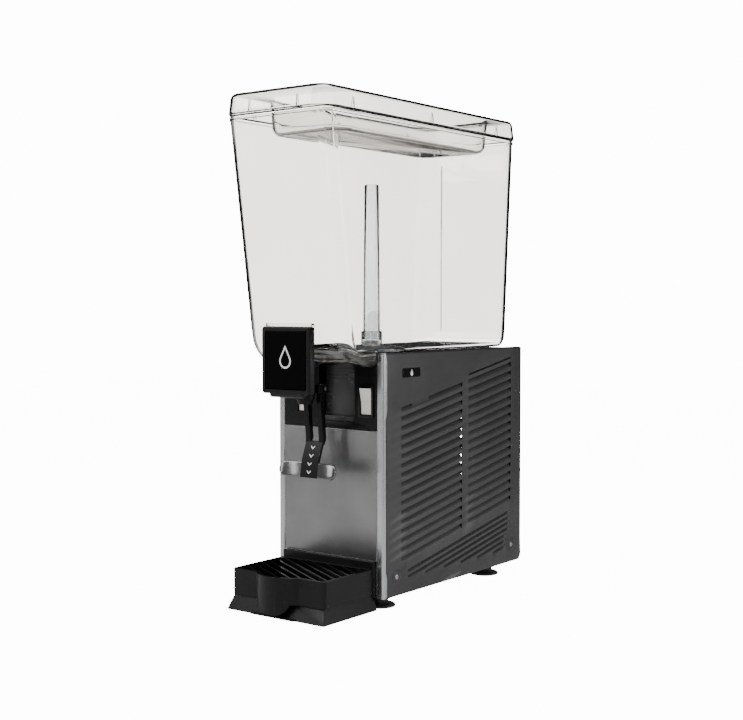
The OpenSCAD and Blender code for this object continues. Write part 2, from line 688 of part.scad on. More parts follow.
module tap_nut() color([0.15, 0.15, 0.15]) placed() translate([0, -tap_y, nut_z[0]]) difference() {
    union() {
        cylinder(h = nut_z[1] - nut_z[0], r = nut_r - rib_r);
        for (i = [0 : 23]) rotate([0, 0, 15 * i]) translate([nut_r - rib_r, 0, 0])
            cylinder(h = nut_z[1] - nut_z[0], r = rib_r);
    }
    translate([0, 0, -1]) cylinder(h = 50, r = neck_r + seat);
}

spout_z = body_h - 66.6;            // lower end of the spout
pivot_y = -31;
pivot_z = spout_z + 20;
pin_r = 2.5;
ear_x = [15.6, 18.5];
finger_hw = 2.9;
seat_z = spout_z + 4;               // ledge below the spring
spring_h = 6.5;
plug_z = [seat_z + spring_h, pivot_z - 2.3];

module tap_body() color([0.13, 0.13, 0.13]) placed() difference() {
    union() {
        translate([0, -tap_y, spout_z + 6]) cylinder(h = neck_z - spout_z - 6.2, r = neck_r);
        translate([0, -tap_y, spout_z]) cylinder(h = 7, r1 = 9.5, r2 = 11);
        block([-ear_x[1], -tap_y + 5, pivot_z - 6], [ear_x[1], -tap_y + 11, pivot_z + 6]);
        for (side = [-1, 1]) translate([side < 0 ? -ear_x[1] : ear_x[0], -tap_y + 5, pivot_z - 6])
            cube([ear_x[1] - ear_x[0], tap_y + pivot_y + 1, 12]);
    }
    translate([0, -tap_y, seat_z]) cylinder(h = 60, r = piston_r + fit);
    translate([0, -tap_y, spout_z - 1]) cylinder(h = 20, r = 6);
    block([-finger_hw - 0.6, -tap_y + 2, pivot_z - 9], [finger_hw + 0.6, -tap_y + 20, pivot_z + 7]);
    translate([0, pivot_y, pivot_z]) rod_x(-30, 30, pin_r + fit);
}

seal_r = 0.9;
seal_z = [(plug_z[0] + plug_z[1]) / 2, pivot_z + 9];

module tap_piston() color("whitesmoke") placed() translate([0, -tap_y, 0]) difference() {
    union() {
        translate([0, 0, plug_z[0]]) cylinder(h = plug_z[1] - plug_z[0], r = piston_r);
        translate([0, 0, plug_z[1] - 1]) cylinder(h = 8, r = 3.2);
        translate([0, 0, pivot_z + 2.3]) cylinder(h = neck_z - pivot_z - 4, r = piston_r);
    }
    for (z = seal_z) translate([0, 0, z]) rotate_extrude() translate([piston_r, 0])
        square(2 * (seal_r + fit), center = true);
}

module piston_seals() color("black") placed() translate([0, -tap_y, 0])
    for (z = seal_z) translate([0, 0, z]) rotate_extrude() translate([piston_r - 0.02, 0])
        intersection() {
            circle(seal_r);
            square([4, 4], center = true);
            translate([-2, -2]) square([2, 4]);
        }

// A wound spring: a round wire that follows a helix
spring_turns = 3;
wire_r = 0.6;
spring_r = 5.6;
spring_steps = 16;
spring_rise = spring_h - 2 * wire_r - 0.6;

function coil_ring(a) = let (z = seat_z + wire_r + 0.3 + spring_rise * a / (360 * spring_turns))
    [for (j = [0 : 5]) [(spring_r + wire_r * cos(60 * j)) * cos(a),
                        (spring_r + wire_r * cos(60 * j)) * sin(a) - tap_y, z + wire_r * sin(60 * j)]];

module tap_spring() color("silver") placed() {
    n = spring_turns * spring_steps;
    points = [for (i = [0 : n]) each coil_ring(360 * i / spring_steps)];
    sides = [for (i = [0 : n - 1], j = [0 : 5])
        [6 * i + j, 6 * i + (j + 1) % 6, 6 * i + 6 + (j + 1) % 6, 6 * i + 6 + j]];
    ends = [[5, 4, 3, 2, 1, 0], [for (j = [0 : 5]) 6 * n + j]];
    polyhedron(points, concat(sides, ends));
}

// The lever: two arms beside the spout, a flat strip and a wide paddle
arm_x = [7, 15];
strip_y = [-43, -39];               // front and rear face of the strip at the paddle
elbow = [-28.5, 48];                // the arms' hindmost place, and its height above the paddle
paddle_h = 21;
paddle_z = pivot_z - lever_len;
paddle_r = 188;                     // hollow of the paddle's face
elbow_z = paddle_z + elbow[1];

module lever() color([0.15, 0.15, 0.15]) placed() difference() {
    union() {
        translate([0, pivot_y, pivot_z]) rod_x(-arm_x[1], arm_x[1], 6);
        for (side = [-1, 1]) mirror([side < 0 ? 1 : 0, 0, 0]) along_x(arm_x[0], arm_x[1])
            polygon([[pivot_y - 4, pivot_z], [pivot_y - 6, pivot_z - 20], [elbow[0] - 3, elbow_z + 4],
                     [elbow[0] - 4, elbow_z - 5], [elbow[0], elbow_z - 5], [elbow[0] + 4, elbow_z + 4],
                     [pivot_y + 2, pivot_z - 20], [pivot_y + 5, pivot_z]]);
        along_x(-14.5, 14.5) polygon([[strip_y[0], paddle_z + 2], [elbow[0] - 3.1, elbow_z],
                                      [elbow[0] + 0.9, elbow_z], [strip_y[1], paddle_z + 2]]);
        intersection() {
            translate([0, strip_y[0] - paddle_r, paddle_z]) linear_extrude(paddle_h) difference() {
                circle(paddle_r + 4, $fn = 180);
                circle(paddle_r, $fn = 180);
            }
            along_y(-tap_y - 20, 0)
                round_rect([-paddle_w / 2, paddle_z], [paddle_w / 2, paddle_z + paddle_h], 9);
        }
        block([-finger_hw, -tap_y + 3.9, pivot_z - 1.8], [finger_hw, pivot_y, pivot_z + 1.8]);
    }
    translate([0, pivot_y, pivot_z]) rod_x(-30, 30, pin_r + fit);
}

module lever_pin() color("silver") placed() translate([0, pivot_y, pivot_z])
    rod_x(-ear_x[1], ear_x[1], pin_r);

// ---- drip tray ----

tray_hw = tray_w / 2;
holder_y = -6;
tray_back = holder_y - gap;
tray_floor = 19.5;
lobe_chord = 36;
lobe_r = (lobe_chord * lobe_chord + lobe_out * lobe_out) / (2 * lobe_out);
lobe_y = -lobe_front + lobe_r;
lobe_hw = 28;                       // half width of the lobe's deep middle
lobe_z = 5;
lobe_corner = 22;                   // round lower corners of the lobe
notch_hw = lobe_hw + 0.6;
base_hw = tray_hw + 4;

module tray_holder() color("black") placed() difference() {
    block([-tray_hw + 1, holder_y, foot_h + 1.5], [tray_hw - 1, -gap, panel_z - 0.5]);
    block([-tray_hw + 4, holder_y + 3, foot_h], [tray_hw - 4, 1, panel_z - 4]);
}

// The flared foot that the tray stands on, hollow below and notched for the lobe
module flare(inset) intersection() {
    along_x(-base_hw - 1, base_hw + 1) polygon([[-tray_reach - 6.5 + inset, 0], [-3 - inset, 0],
        [-3 - inset, foot_h - inset], [holder_y - 1 - inset, foot_h - inset],
        [holder_y - 1 - inset, tray_floor - gap - inset],
        [-tray_reach + 2 + inset, tray_floor - gap - inset]]);
    along_y(-tray_reach - 20, 0) polygon([[-base_hw + inset, 0], [base_hw - inset, 0],
        [tray_hw - 2 - inset, tray_floor - gap - inset], [-tray_hw + 2 + inset, tray_floor - gap - inset]]);
}

module tray_base() color("black") placed() difference() {
    flare(0);
    translate([0, 0, -0.01]) flare(tray_t);
    along_y(-lobe_front - 1, lobe_y - 10)
        round_rect([-notch_hw, lobe_z - 0.6], [notch_hw, tray_floor + 40], lobe_corner + 0.6);
}

// The tray's plan: a box with a round lobe at the front, drawn in by inset
module tray_plan(inset) {
    round_rect([-tray_hw + inset, -tray_reach + inset], [tray_hw - inset, tray_back - inset], 5 - inset / 2);
    intersection() {
        translate([0, lobe_y]) circle(lobe_r - inset, $fn = 96);
        translate([-lobe_chord - 4, -lobe_front - 1]) square([2 * lobe_chord + 8, lobe_out + 20]);
    }
}

// The tray's form, drawn in by inset: flat below but for the deep middle of the lobe
module tray_form(inset, top) difference() {
    translate([0, 0, lobe_z + inset]) linear_extrude(top - lobe_z - inset) tray_plan(inset);
    along_y(-lobe_front - 5, 5) difference() {
        translate([-body_w, 0]) square([2 * body_w, tray_floor + inset]);
        round_rect([-lobe_hw + inset, lobe_z + inset], [lobe_hw - inset, tray_z], lobe_corner - inset);
    }
    block([-body_w, lobe_y - 10 - inset, 0], [body_w, 10, tray_floor + inset]);
}

module drip_tray() color([0.12, 0.12, 0.12]) placed() difference() {
    tray_form(0, tray_z);
    tray_form(tray_t, tray_z + 1);
    translate([0, 0, tray_z - 4]) linear_extrude(5) tray_plan(tray_t - 1);
}

grid_pitch = 12.5;
grid_bar = 3;
grid_slope = -30;
grid_h = 3.6;

module drip_grid() color("black") placed() translate([0, 0, tray_z - 3.9]) linear_extrude(grid_h)
    difference() {
        tray_plan(tray_t - 1 + gap);
        intersection() {
            tray_plan(tray_t + 3.5);
            translate([0, -60]) rotate(grid_slope) for (i = [-12 : 12])
                translate([-120, i * grid_pitch - (grid_pitch - grid_bar) / 2])
                    square([240, grid_pitch - grid_bar]);
        }
    }

base_pan();
feet();
front_frame();
front_panel();
control_panel();
side_panel_right();
side_panel_left();
rear_panel();
top_deck();
cross_brace();
panel_screws();
side_badges();
insulation();
evaporator_dome();
evaporator_coil();
evaporator_gasket();
compressor();
compressor_grommets();
compressor_bolts();
start_relay();
condenser();
fan_shroud();
fan_bracket();
fan_motor();
fan_blade();
filter_drier();
capillary_tube();
discharge_pipe();
suction_pipe();
pump_motor();
motor_bracket();
drive_magnet();
impeller();
pump_cover();
spray_tube();
power_inlet();
terminal_block();
thermostat();
thermostat_spindle();
switch_bodies();
power_rocker();
pump_rocker();
bowl();
lid();
cover_carrier();
tap_cover();
label_plate();
tap_nut();
tap_body();
tap_piston();
piston_seals();
tap_spring();
lever();
lever_pin();
tray_holder();
tray_base();
drip_tray();
drip_grid();
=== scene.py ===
import math

import bmesh
import bpy
from mathutils import Matrix, Vector


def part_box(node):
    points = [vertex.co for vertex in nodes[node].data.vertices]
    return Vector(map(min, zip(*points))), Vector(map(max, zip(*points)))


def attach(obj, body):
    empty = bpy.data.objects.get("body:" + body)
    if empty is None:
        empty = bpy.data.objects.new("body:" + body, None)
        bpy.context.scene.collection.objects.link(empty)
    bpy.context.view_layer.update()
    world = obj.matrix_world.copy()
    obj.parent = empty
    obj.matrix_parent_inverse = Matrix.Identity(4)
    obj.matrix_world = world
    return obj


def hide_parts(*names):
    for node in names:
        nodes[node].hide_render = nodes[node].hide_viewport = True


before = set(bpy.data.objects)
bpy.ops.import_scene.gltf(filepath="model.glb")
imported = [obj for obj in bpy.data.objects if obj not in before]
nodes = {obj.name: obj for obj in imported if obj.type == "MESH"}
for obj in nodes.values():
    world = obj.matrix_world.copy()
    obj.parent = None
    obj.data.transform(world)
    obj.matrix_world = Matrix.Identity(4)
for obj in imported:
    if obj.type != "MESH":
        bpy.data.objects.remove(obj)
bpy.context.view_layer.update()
mm = 0.001

# ---- Camera, floor and studio ----
# The machine stands on a pale floor in a bright room. Straight views meet a white backdrop, while
# whatever the steel and the clear plastic reflect is a darker room with three soft boxes.
camera_data = bpy.data.cameras.new("camera")
camera_data.sensor_width = 36
camera_data.lens = 62.91
camera = bpy.data.objects.new("camera", camera_data)
camera.location = (1.0924, -1.463, 0.401)
camera.rotation_euler = (math.radians(87.525), 0, math.radians(37.14))
bpy.context.collection.objects.link(camera)
bpy.context.scene.camera = camera


def node(tree, kind, **settings):
    made = tree.nodes.new("ShaderNode" + kind)
    for name, value in settings.items():
        setattr(made, name, value)
    return made


def maths(tree, operation, a, b):
    made = node(tree, "Math", operation=operation)
    for socket, value in zip(made.inputs, (a, b)):
        if isinstance(value, bpy.types.NodeSocket):
            tree.links.new(value, socket)
        else:
            socket.default_value = value
    return made.outputs[0]


def by_ray(tree, seen, through, reflected, inside, lit):
    """A strength for each kind of ray: seen by the camera, through clear plastic, reflected, and so on."""
    path = node(tree, "LightPath")
    bounced = maths(tree, "MINIMUM", path.outputs["Glossy Depth"], 1)
    passed = maths(tree, "MINIMUM", path.outputs["Transmission Depth"], 1)
    plain = maths(tree, "SUBTRACT", 1, maths(tree, "MAXIMUM", bounced, passed))
    direct = path.outputs["Is Camera Ray"]
    other = maths(tree, "SUBTRACT", plain, direct)
    shares = ((direct, seen), (other, lit), (maths(tree, "MULTIPLY", bounced, passed), inside),
              (maths(tree, "SUBTRACT", passed, maths(tree, "MULTIPLY", bounced, passed)), through),
              (maths(tree, "SUBTRACT", bounced, maths(tree, "MULTIPLY", bounced, passed)), reflected))
    total = 0
    for share, strength in shares:
        total = maths(tree, "ADD", maths(tree, "MULTIPLY", share, strength), total)
    return total


world = bpy.data.worlds.new("studio")
bpy.context.scene.world = world
world.use_nodes = True
sky = world.node_tree
backdrop = sky.nodes["Background"]
backdrop.inputs["Color"].default_value = (1, 0.99, 0.975, 1)
heading = node(sky, "SeparateXYZ")
sky.links.new(node(sky, "TexCoord").outputs["Generated"], heading.inputs[0])
below = node(sky, "MapRange")
below.inputs["From Min"].default_value = -0.05
below.inputs["From Max"].default_value = -0.08
below.inputs["To Min"].default_value = 0
below.inputs["To Max"].default_value = 1.6
sky.links.new(heading.outputs["Z"], below.inputs["Value"])
onward = node(sky, "VectorMath", operation="DOT_PRODUCT")
onward.inputs[1].default_value = (-0.6, 0.8, 0)
sky.links.new(node(sky, "TexCoord").outputs["Generated"], onward.inputs[0])
mirrored = node(sky, "MapRange")
mirrored.inputs["From Min"].default_value = 0.4
mirrored.inputs["From Max"].default_value = 0.65
mirrored.inputs["To Min"].default_value = 0.35
mirrored.inputs["To Max"].default_value = 0.01
sky.links.new(onward.outputs["Value"], mirrored.inputs["Value"])
ahead = node(sky, "MapRange")
ahead.inputs["From Min"].default_value = 0.86
ahead.inputs["From Max"].default_value = 0.93
sky.links.new(onward.outputs["Value"], ahead.inputs["Value"])
under = maths(sky, "MULTIPLY", below.outputs["Result"], ahead.outputs["Result"])
sky.links.new(by_ray(sky, 14, 4.1, mirrored.outputs["Result"], under, 0.7), backdrop.inputs["Strength"])

floor_mesh = bpy.data.meshes.new("floor")
floor_form = bmesh.new()
bmesh.ops.create_grid(floor_form, x_segments=1, y_segments=1, size=4)
floor_form.to_mesh(floor_mesh)
floor_form.free()
floor = bpy.data.objects.new("floor", floor_mesh)
bpy.context.collection.objects.link(floor)
floor_paint = bpy.data.materials.new("floor_paint")
floor_paint.use_nodes = True
floor_tree = floor_paint.node_tree
floor_shader = floor_tree.nodes["Principled BSDF"]
floor_shader.inputs["Base Color"].default_value = (0.8, 0.8, 0.79, 1)
floor_shader.inputs["Roughness"].default_value = 0.7
floor_shader.inputs["Emission Color"].default_value = (1, 1, 1, 1)
span = node(floor_tree, "VectorMath", operation="LENGTH")
floor_tree.links.new(node(floor_tree, "TexCoord").outputs["Object"], span.inputs[0])
near_light = node(floor_tree, "MapRange")
near_light.inputs["From Min"].default_value = 0.15
near_light.inputs["From Max"].default_value = 1.3
near_light.inputs["To Min"].default_value = 0.32
near_light.inputs["To Max"].default_value = 0
floor_tree.links.new(span.outputs["Value"], near_light.inputs["Value"])
floor_glow = by_ray(floor_tree, 13, 2.9, near_light.outputs["Result"], 0.15, 0)
floor_tree.links.new(floor_glow, floor_shader.inputs["Emission Strength"])
floor_mesh.materials.append(floor_paint)


def soft_box(name, place, aim, width, height, power):
    data = bpy.data.lights.new(name, "AREA")
    data.shape = "RECTANGLE"
    data.size = width
    data.size_y = height
    data.energy = power
    lamp = bpy.data.objects.new(name, data)
    lamp.location = place
    lamp.rotation_euler = (Vector(aim) - Vector(place)).to_track_quat("-Z", "Y").to_euler()
    lamp.visible_camera = False
    bpy.context.collection.objects.link(lamp)


soft_box("key", (-1.5, -1.9, 1.9), (0, 0, 0.3), 1.3, 1.3, 34)
soft_box("side", (2.2, 1.3, 0.5), (0, 0, 0.1), 1.2, 0.7, 9)
soft_box("top", (0.3, 0, 2.3), (0, 0, 0.3), 1.6, 1.6, 22)
soft_box("front_strip", (0.9, -2.4, 0.9), (0, 0, 0.25), 0.35, 1.6, 9)
soft_box("low_strip", (-0.95, -2.1, 0.62), (0, -0.15, 0.18), 0.16, 0.9, 2.2)
soft_box("far_strip", (-2.0, -1.25, 0.55), (0, -0.15, 0.18), 0.2, 0.8, 2.6)

# ---- Side panels ----
# Each side is one sheet of powder-coated steel with two columns of pressed louvres, seven pressed
# ribs below them, and folds along the top and the rear. A screw at each lower corner holds it.


def paint(red, green, blue):
    """A colour in linear light from its usual 0 to 255 values."""
    return tuple((c / 255 / 12.92 if c < 11 else ((c / 255 + 0.055) / 1.055) ** 2.4)
                 for c in (red, green, blue)) + (1,)


def new_group(name, inputs, outputs):
    group = bpy.data.node_groups.new(name, "ShaderNodeTree")
    for label, kind, value in inputs:
        socket = group.interface.new_socket(label, in_out="INPUT", socket_type="NodeSocket" + kind)
        socket.default_value = value
    for label, kind in outputs:
        group.interface.new_socket(label, in_out="OUTPUT", socket_type="NodeSocket" + kind)
    return group, node_in(group), node_out(group)


def node_in(group):
    return group.nodes.new("NodeGroupInput").outputs


def node_out(group):
    return group.nodes.new("NodeGroupOutput").inputs


def noise(tree, coordinates, scale, detail=3, spread=None):
    """Noise over the surface; spread stretches it along an axis, as strokes."""
    made = node(tree, "TexNoise")
    made.inputs["Detail"].default_value = detail
    if isinstance(scale, bpy.types.NodeSocket):
        tree.links.new(scale, made.inputs["Scale"])
    else:
        made.inputs["Scale"].default_value = scale
    if spread is not None:
        stretch = node(tree, "VectorMath", operation="MULTIPLY")
        tree.links.new(coordinates, stretch.inputs[0])
        tree.links.new(spread, stretch.inputs[1])
        coordinates = stretch.outputs[0]
    tree.links.new(coordinates, made.inputs["Vector"])
    return made.outputs["Fac"]


def spread_of(tree, value, low, high):
    """Noise from about 0.3 to 0.7 brought to low to high."""
    made = node(tree, "MapRange")
    made.inputs["From Min"].default_value = 0.3
    made.inputs["From Max"].default_value = 0.7
    for label, limit in (("To Min", low), ("To Max", high)):
        if isinstance(limit, bpy.types.NodeSocket):
            tree.links.new(limit, made.inputs[label])
        else:
            made.inputs[label].default_value = limit
    tree.links.new(value, made.inputs["Value"])
    return made.outputs["Result"]


def mixed(tree, share, a, b):
    made = node(tree, "Mix", data_type="RGBA")
    for label, value in ((0, share), (6, a), (7, b)):
        if isinstance(value, bpy.types.NodeSocket):
            tree.links.new(value, made.inputs[label])
        else:
            made.inputs[label].default_value = value
    return made.outputs[2]


# Colour that drifts a little over a surface, and is rubbed towards another colour along its edges
tone, tone_in, tone_out = new_group(
    "surface_tone",
    [("Color", "Color", (0.5, 0.5, 0.5, 1)), ("Drift Color", "Color", (0.4, 0.4, 0.4, 1)),
     ("Edge Color", "Color", (0.6, 0.6, 0.6, 1)), ("Edge Wear", "Float", 0.3), ("Scale", "Float", 14)],
    [("Color", "Color")])
tone_place = node(tone, "TexCoord").outputs["Object"]
drift = spread_of(tone, noise(tone, tone_place, tone_in["Scale"], 5), 0, 1)
drifted = mixed(tone, drift, tone_in["Color"], tone_in["Drift Color"])
edge = node(tone, "MapRange")
edge.inputs["From Min"].default_value = 0.52
edge.inputs["From Max"].default_value = 0.62
tone.links.new(node(tone, "NewGeometry").outputs["Pointiness"], edge.inputs["Value"])
rubbed = maths(tone, "MULTIPLY", edge.outputs["Result"], tone_in["Edge Wear"])
tone.links.new(mixed(tone, rubbed, drifted, tone_in["Edge Color"]), tone_out["Color"])

# Fine grain: its height, and a roughness that also drifts in large soft smudges
grain, grain_in, grain_out = new_group(
    "fine_grain",
    [("Roughness", "Float", 0.5), ("Smudges", "Float", 0.08), ("Grain Scale", "Float", 900),
     ("Stretch", "Vector", (1, 1, 1))],
    [("Roughness", "Float"), ("Height", "Float")])
grain_place = node(grain, "TexCoord").outputs["Object"]
smudge = noise(grain, grain_place, 22, 6)
least = maths(grain, "SUBTRACT", grain_in["Roughness"], grain_in["Smudges"])
most = maths(grain, "ADD", grain_in["Roughness"], grain_in["Smudges"])
grain_height = noise(grain, grain_place, grain_in["Grain Scale"], 2, grain_in["Stretch"])
grain.links.new(spread_of(grain, smudge, least, most), grain_out["Roughness"])
grain.links.new(grain_height, grain_out["Height"])


def finish(name, color, drift_color, roughness, metal=0.0, edge_color=None, wear=0.25, grain_scale=900,
           stretch=(1, 1, 1), relief=0.02, smudges=0.06, drift_scale=14, **sockets):
    """A surface from its two close colours, its gloss and its grain. More sockets are the shader's own."""
    made = bpy.data.materials.new(name)
    made.use_nodes = True
    tree = made.node_tree
    shader = tree.nodes["Principled BSDF"]
    color_node = node(tree, "Group", node_tree=tone)
    color_node.inputs["Color"].default_value = color
    color_node.inputs["Drift Color"].default_value = drift_color
    color_node.inputs["Edge Color"].default_value = edge_color or color
    color_node.inputs["Edge Wear"].default_value = wear if edge_color else 0
    color_node.inputs["Scale"].default_value = drift_scale
    grain_node = node(tree, "Group", node_tree=grain)
    grain_node.inputs["Roughness"].default_value = roughness
    grain_node.inputs["Smudges"].default_value = smudges
    grain_node.inputs["Grain Scale"].default_value = grain_scale
    grain_node.inputs["Stretch"].default_value = stretch
    bump = node(tree, "Bump")
    bump.inputs["Strength"].default_value = relief
    bump.inputs["Distance"].default_value = 1 * mm
    tree.links.new(color_node.outputs["Color"], shader.inputs["Base Color"])
    tree.links.new(grain_node.outputs["Roughness"], shader.inputs["Roughness"])
    tree.links.new(grain_node.outputs["Height"], bump.inputs["Height"])
    tree.links.new(bump.outputs["Normal"], shader.inputs["Normal"])
    shader.inputs["Metallic"].default_value = metal
    for label, value in sockets.items():
        shader.inputs[label.replace("_", " ")].default_value = value
    return made


def add_piece(form, name, body, material, stands_for=(), sharp=35, outward=None):
    """Makes an object from a bmesh, smooth but for its sharp edges, and puts it on its body."""
    bmesh.ops.remove_doubles(form, verts=form.verts, dist=0.001 * mm)
    bmesh.ops.recalc_face_normals(form, faces=form.faces)
    if outward is not None:
        lean = sum(face.normal.dot(Vector(outward)) * face.calc_area() for face in form.faces)
        if lean < 0:
            bmesh.ops.reverse_faces(form, faces=form.faces)
    mesh = bpy.data.meshes.new(name)
    form.to_mesh(mesh)
    form.free()
    mesh.shade_smooth()
    mesh.set_sharp_from_angle(angle=math.radians(sharp))
    mesh.materials.append(material)
    made = bpy.data.objects.new(name, mesh)
    bpy.context.collection.objects.link(made)
    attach(made, body)
    if stands_for:
        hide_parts(*stands_for)
    return made


def thicken(piece, thickness):
    wall = piece.modifiers.new("wall", "SOLIDIFY")
    wall.thickness = thickness
    wall.offset = -1
    wall.use_even_offset = True


def soften(piece, width, segments=2, angle=40):
    edges = piece.modifiers.new("edges", "BEVEL")
    edges.width = width
    edges.segments = segments
    edges.limit_method = "ANGLE"
    edges.angle_limit = math.radians(angle)
    edges.harden_normals = True


def moved_copy(form, edges, step):
    """Extrudes edges by a step and returns the new edges."""
    made = bmesh.ops.extrude_edge_only(form, edges=edges)["geom"]
    fresh = {v for v in made if isinstance(v, bmesh.types.BMVert)}
    bmesh.ops.translate(form, vec=step, verts=list(fresh))
    return [e for e in made if isinstance(e, bmesh.types.BMEdge) and fresh.issuperset(e.verts)]


def bevel(form, edges, offset, segments):
    bmesh.ops.bevel(form, geom=edges, offset=offset, segments=segments, affect="EDGES", profile=0.5,
                    material=-1)


def arc(centre, radius, start, end, steps):
    """Points on an arc in a plane, from one angle to another, in degrees."""
    turn = [math.radians(start + (end - start) * i / steps) for i in range(steps + 1)]
    return [(centre[0] + radius * math.cos(t), centre[1] + radius * math.sin(t)) for t in turn]


machine_low, machine_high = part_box("side_panel_right")
half_width = machine_high.x
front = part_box("control_panel")[0].y
rear = machine_high.y
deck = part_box("top_deck")[1].z
sheet = 1.2 * mm
panel_bottom = machine_low.z
panel_front = front + 7.2 * mm
slope = math.radians(10.3)
rise = math.tan(slope)
louvre_pitch = 12.5 * mm
louvre_open = 8 * mm
louvre_top = deck - 80 * mm
columns = [(front + 40 * mm, front + 187 * mm), (front + 203 * mm, front + 319 * mm)]
louvres = [(column, louvre_top - i * louvre_pitch, louvre_open) for column in columns for i in range(17)]
louvres.append((columns[1], louvre_top + 8 * mm, 3 * mm))
rib_half = 2.4 * mm
rib_depth = 2.2 * mm
rib_last = front + 317 * mm
rib_starts = [55, 55, 96.5, 140, 183, 226, 269.5]
ribs = [(front + start * mm, rib_last if i < 4 else rib_last - 11 * mm, panel_bottom + (19 - 8 * i) * mm)
        for i, start in enumerate(rib_starts)]
side_paint = finish("side_paint", paint(78, 78, 79), paint(69, 69, 71), 0.42, metal=0.85,
                    edge_color=paint(150, 150, 150), wear=0.35, grain_scale=1500, relief=0.05)


def on_line(point, z, tolerance=0.01 * mm):
    return abs(point.z - (z + rise * (point.y - front))) < tolerance


def side_sheet(side, name):
    form = bmesh.new()
    corner = 12 * mm
    outline = [(panel_front, panel_bottom)]
    outline += arc((rear - corner, panel_bottom + corner), corner, -90, 0, 6)
    outline += [(rear, deck), (panel_front, deck)]
    form.faces.new([form.verts.new((half_width, y, z)) for y, z in outline])
    upright = {y for column in columns for y in column}
    upright |= {end - 0.27 * (end - start) for start, end in columns}
    upright |= {y for start, end, _ in ribs for y in (start, start + 3 * mm, end - 3 * mm, end)}
    lines = {z for _, z, _ in louvres} | {z - opening for _, z, opening in louvres}
    lines |= {z + step for _, _, z in ribs for step in (-rib_half, 0, rib_half)}
    cuts = [((0, y, 0), (0, 1, 0)) for y in sorted(upright)]
    cuts += [((0, front, z), (0, -math.sin(slope), math.cos(slope))) for z in sorted(lines)]
    for place, across in cuts:
        bmesh.ops.bisect_plane(form, geom=form.verts[:] + form.edges[:] + form.faces[:], dist=1e-7,
                               plane_co=place, plane_no=across)
    for start, end, z in ribs:
        pressed = [v for v in form.verts if on_line(v.co, z) and start + 1 * mm < v.co.y < end - 1 * mm]
        bmesh.ops.translate(form, vec=(-rib_depth, 0, 0), verts=pressed)
    for (start, end), z, opening in louvres:
        cut_out = [f for f in form.faces if start < f.calc_center_median().y < end
                   and -opening < f.calc_center_median().z - z - rise * (f.calc_center_median().y - front) < 0]
        bmesh.ops.delete(form, geom=cut_out, context="FACES")
        sill = [e for e in form.edges if e.is_boundary and all(
            on_line(v.co, z - opening) and start - mm < v.co.y < end + mm for v in e.verts)]
        bend = moved_copy(form, sill, (-1.4 * mm, 0, 0.4 * opening))
        moved_copy(form, bend, (-3.2 * mm, 0, 0.62 * opening))
    top_edges = [e for e in form.edges if e.is_boundary and all(v.co.z > deck - 1e-6 for v in e.verts)]
    rear_edges = [e for e in form.edges if e.is_boundary and all(v.co.y > rear - 1e-6 for v in e.verts)]
    moved_copy(form, top_edges + rear_edges, (-12 * mm, 0, 0))
    bevel(form, top_edges + rear_edges, 2.5 * mm, 4)
    if side < 0:
        bmesh.ops.scale(form, vec=(-1, 1, 1), verts=form.verts)
    made = add_piece(form, name, "machine", side_paint, [name.replace("sheet", "panel")],
                     outward=(side, 0, 0))
    thicken(made, sheet)
    soften(made, 0.25 * mm, 2, 50)


side_sheet(1, "side_sheet_right")
side_sheet(-1, "side_sheet_left")

# ---- Side screws, bosses and badges ----
# A pan-head screw stands in a pressed boss at each lower corner of both sides. A small plastic
# badge with a plain drop on it is stuck near the front edge.


def spun(form, profile, place, axis=(0, 0, 1), steps=48):
    """Turns a profile of (radius, height) points about an axis through place."""
    turn = Vector((0, 0, 1)).rotation_difference(Vector(axis)).to_matrix().to_4x4()
    verts = [form.verts.new((r, 0, h)) for r, h in profile]
    edges = [form.edges.new(pair) for pair in zip(verts, verts[1:])]
    before = set(form.verts) - set(verts)
    bmesh.ops.spin(form, geom=verts + edges, cent=(0, 0, 0), axis=(0, 0, 1), dvec=(0, 0, 0),
                   angle=2 * math.pi, steps=steps, use_merge=True)
    fresh = [v for v in form.verts if v not in before]
    bmesh.ops.transform(form, matrix=Matrix.Translation(place) @ turn, verts=fresh)
    bmesh.ops.remove_doubles(form, verts=fresh, dist=0.001 * mm)


def extruded(form, points, step):
    """A closed solid from one flat outline."""
    base = form.faces.new([form.verts.new(p) for p in points])
    made = bmesh.ops.extrude_face_region(form, geom=[base])["geom"]
    bmesh.ops.translate(form, vec=step, verts=[v for v in made if isinstance(v, bmesh.types.BMVert)])
    return [f for f in made if isinstance(f, bmesh.types.BMFace)]


def drop(height):
    """The outline of a falling drop, point up, about its middle."""
    radius = 0.32 * height
    round_part = arc((0, -0.18 * height), radius, -210, 30, 20)
    return [(0, 0.5 * height)] + round_part


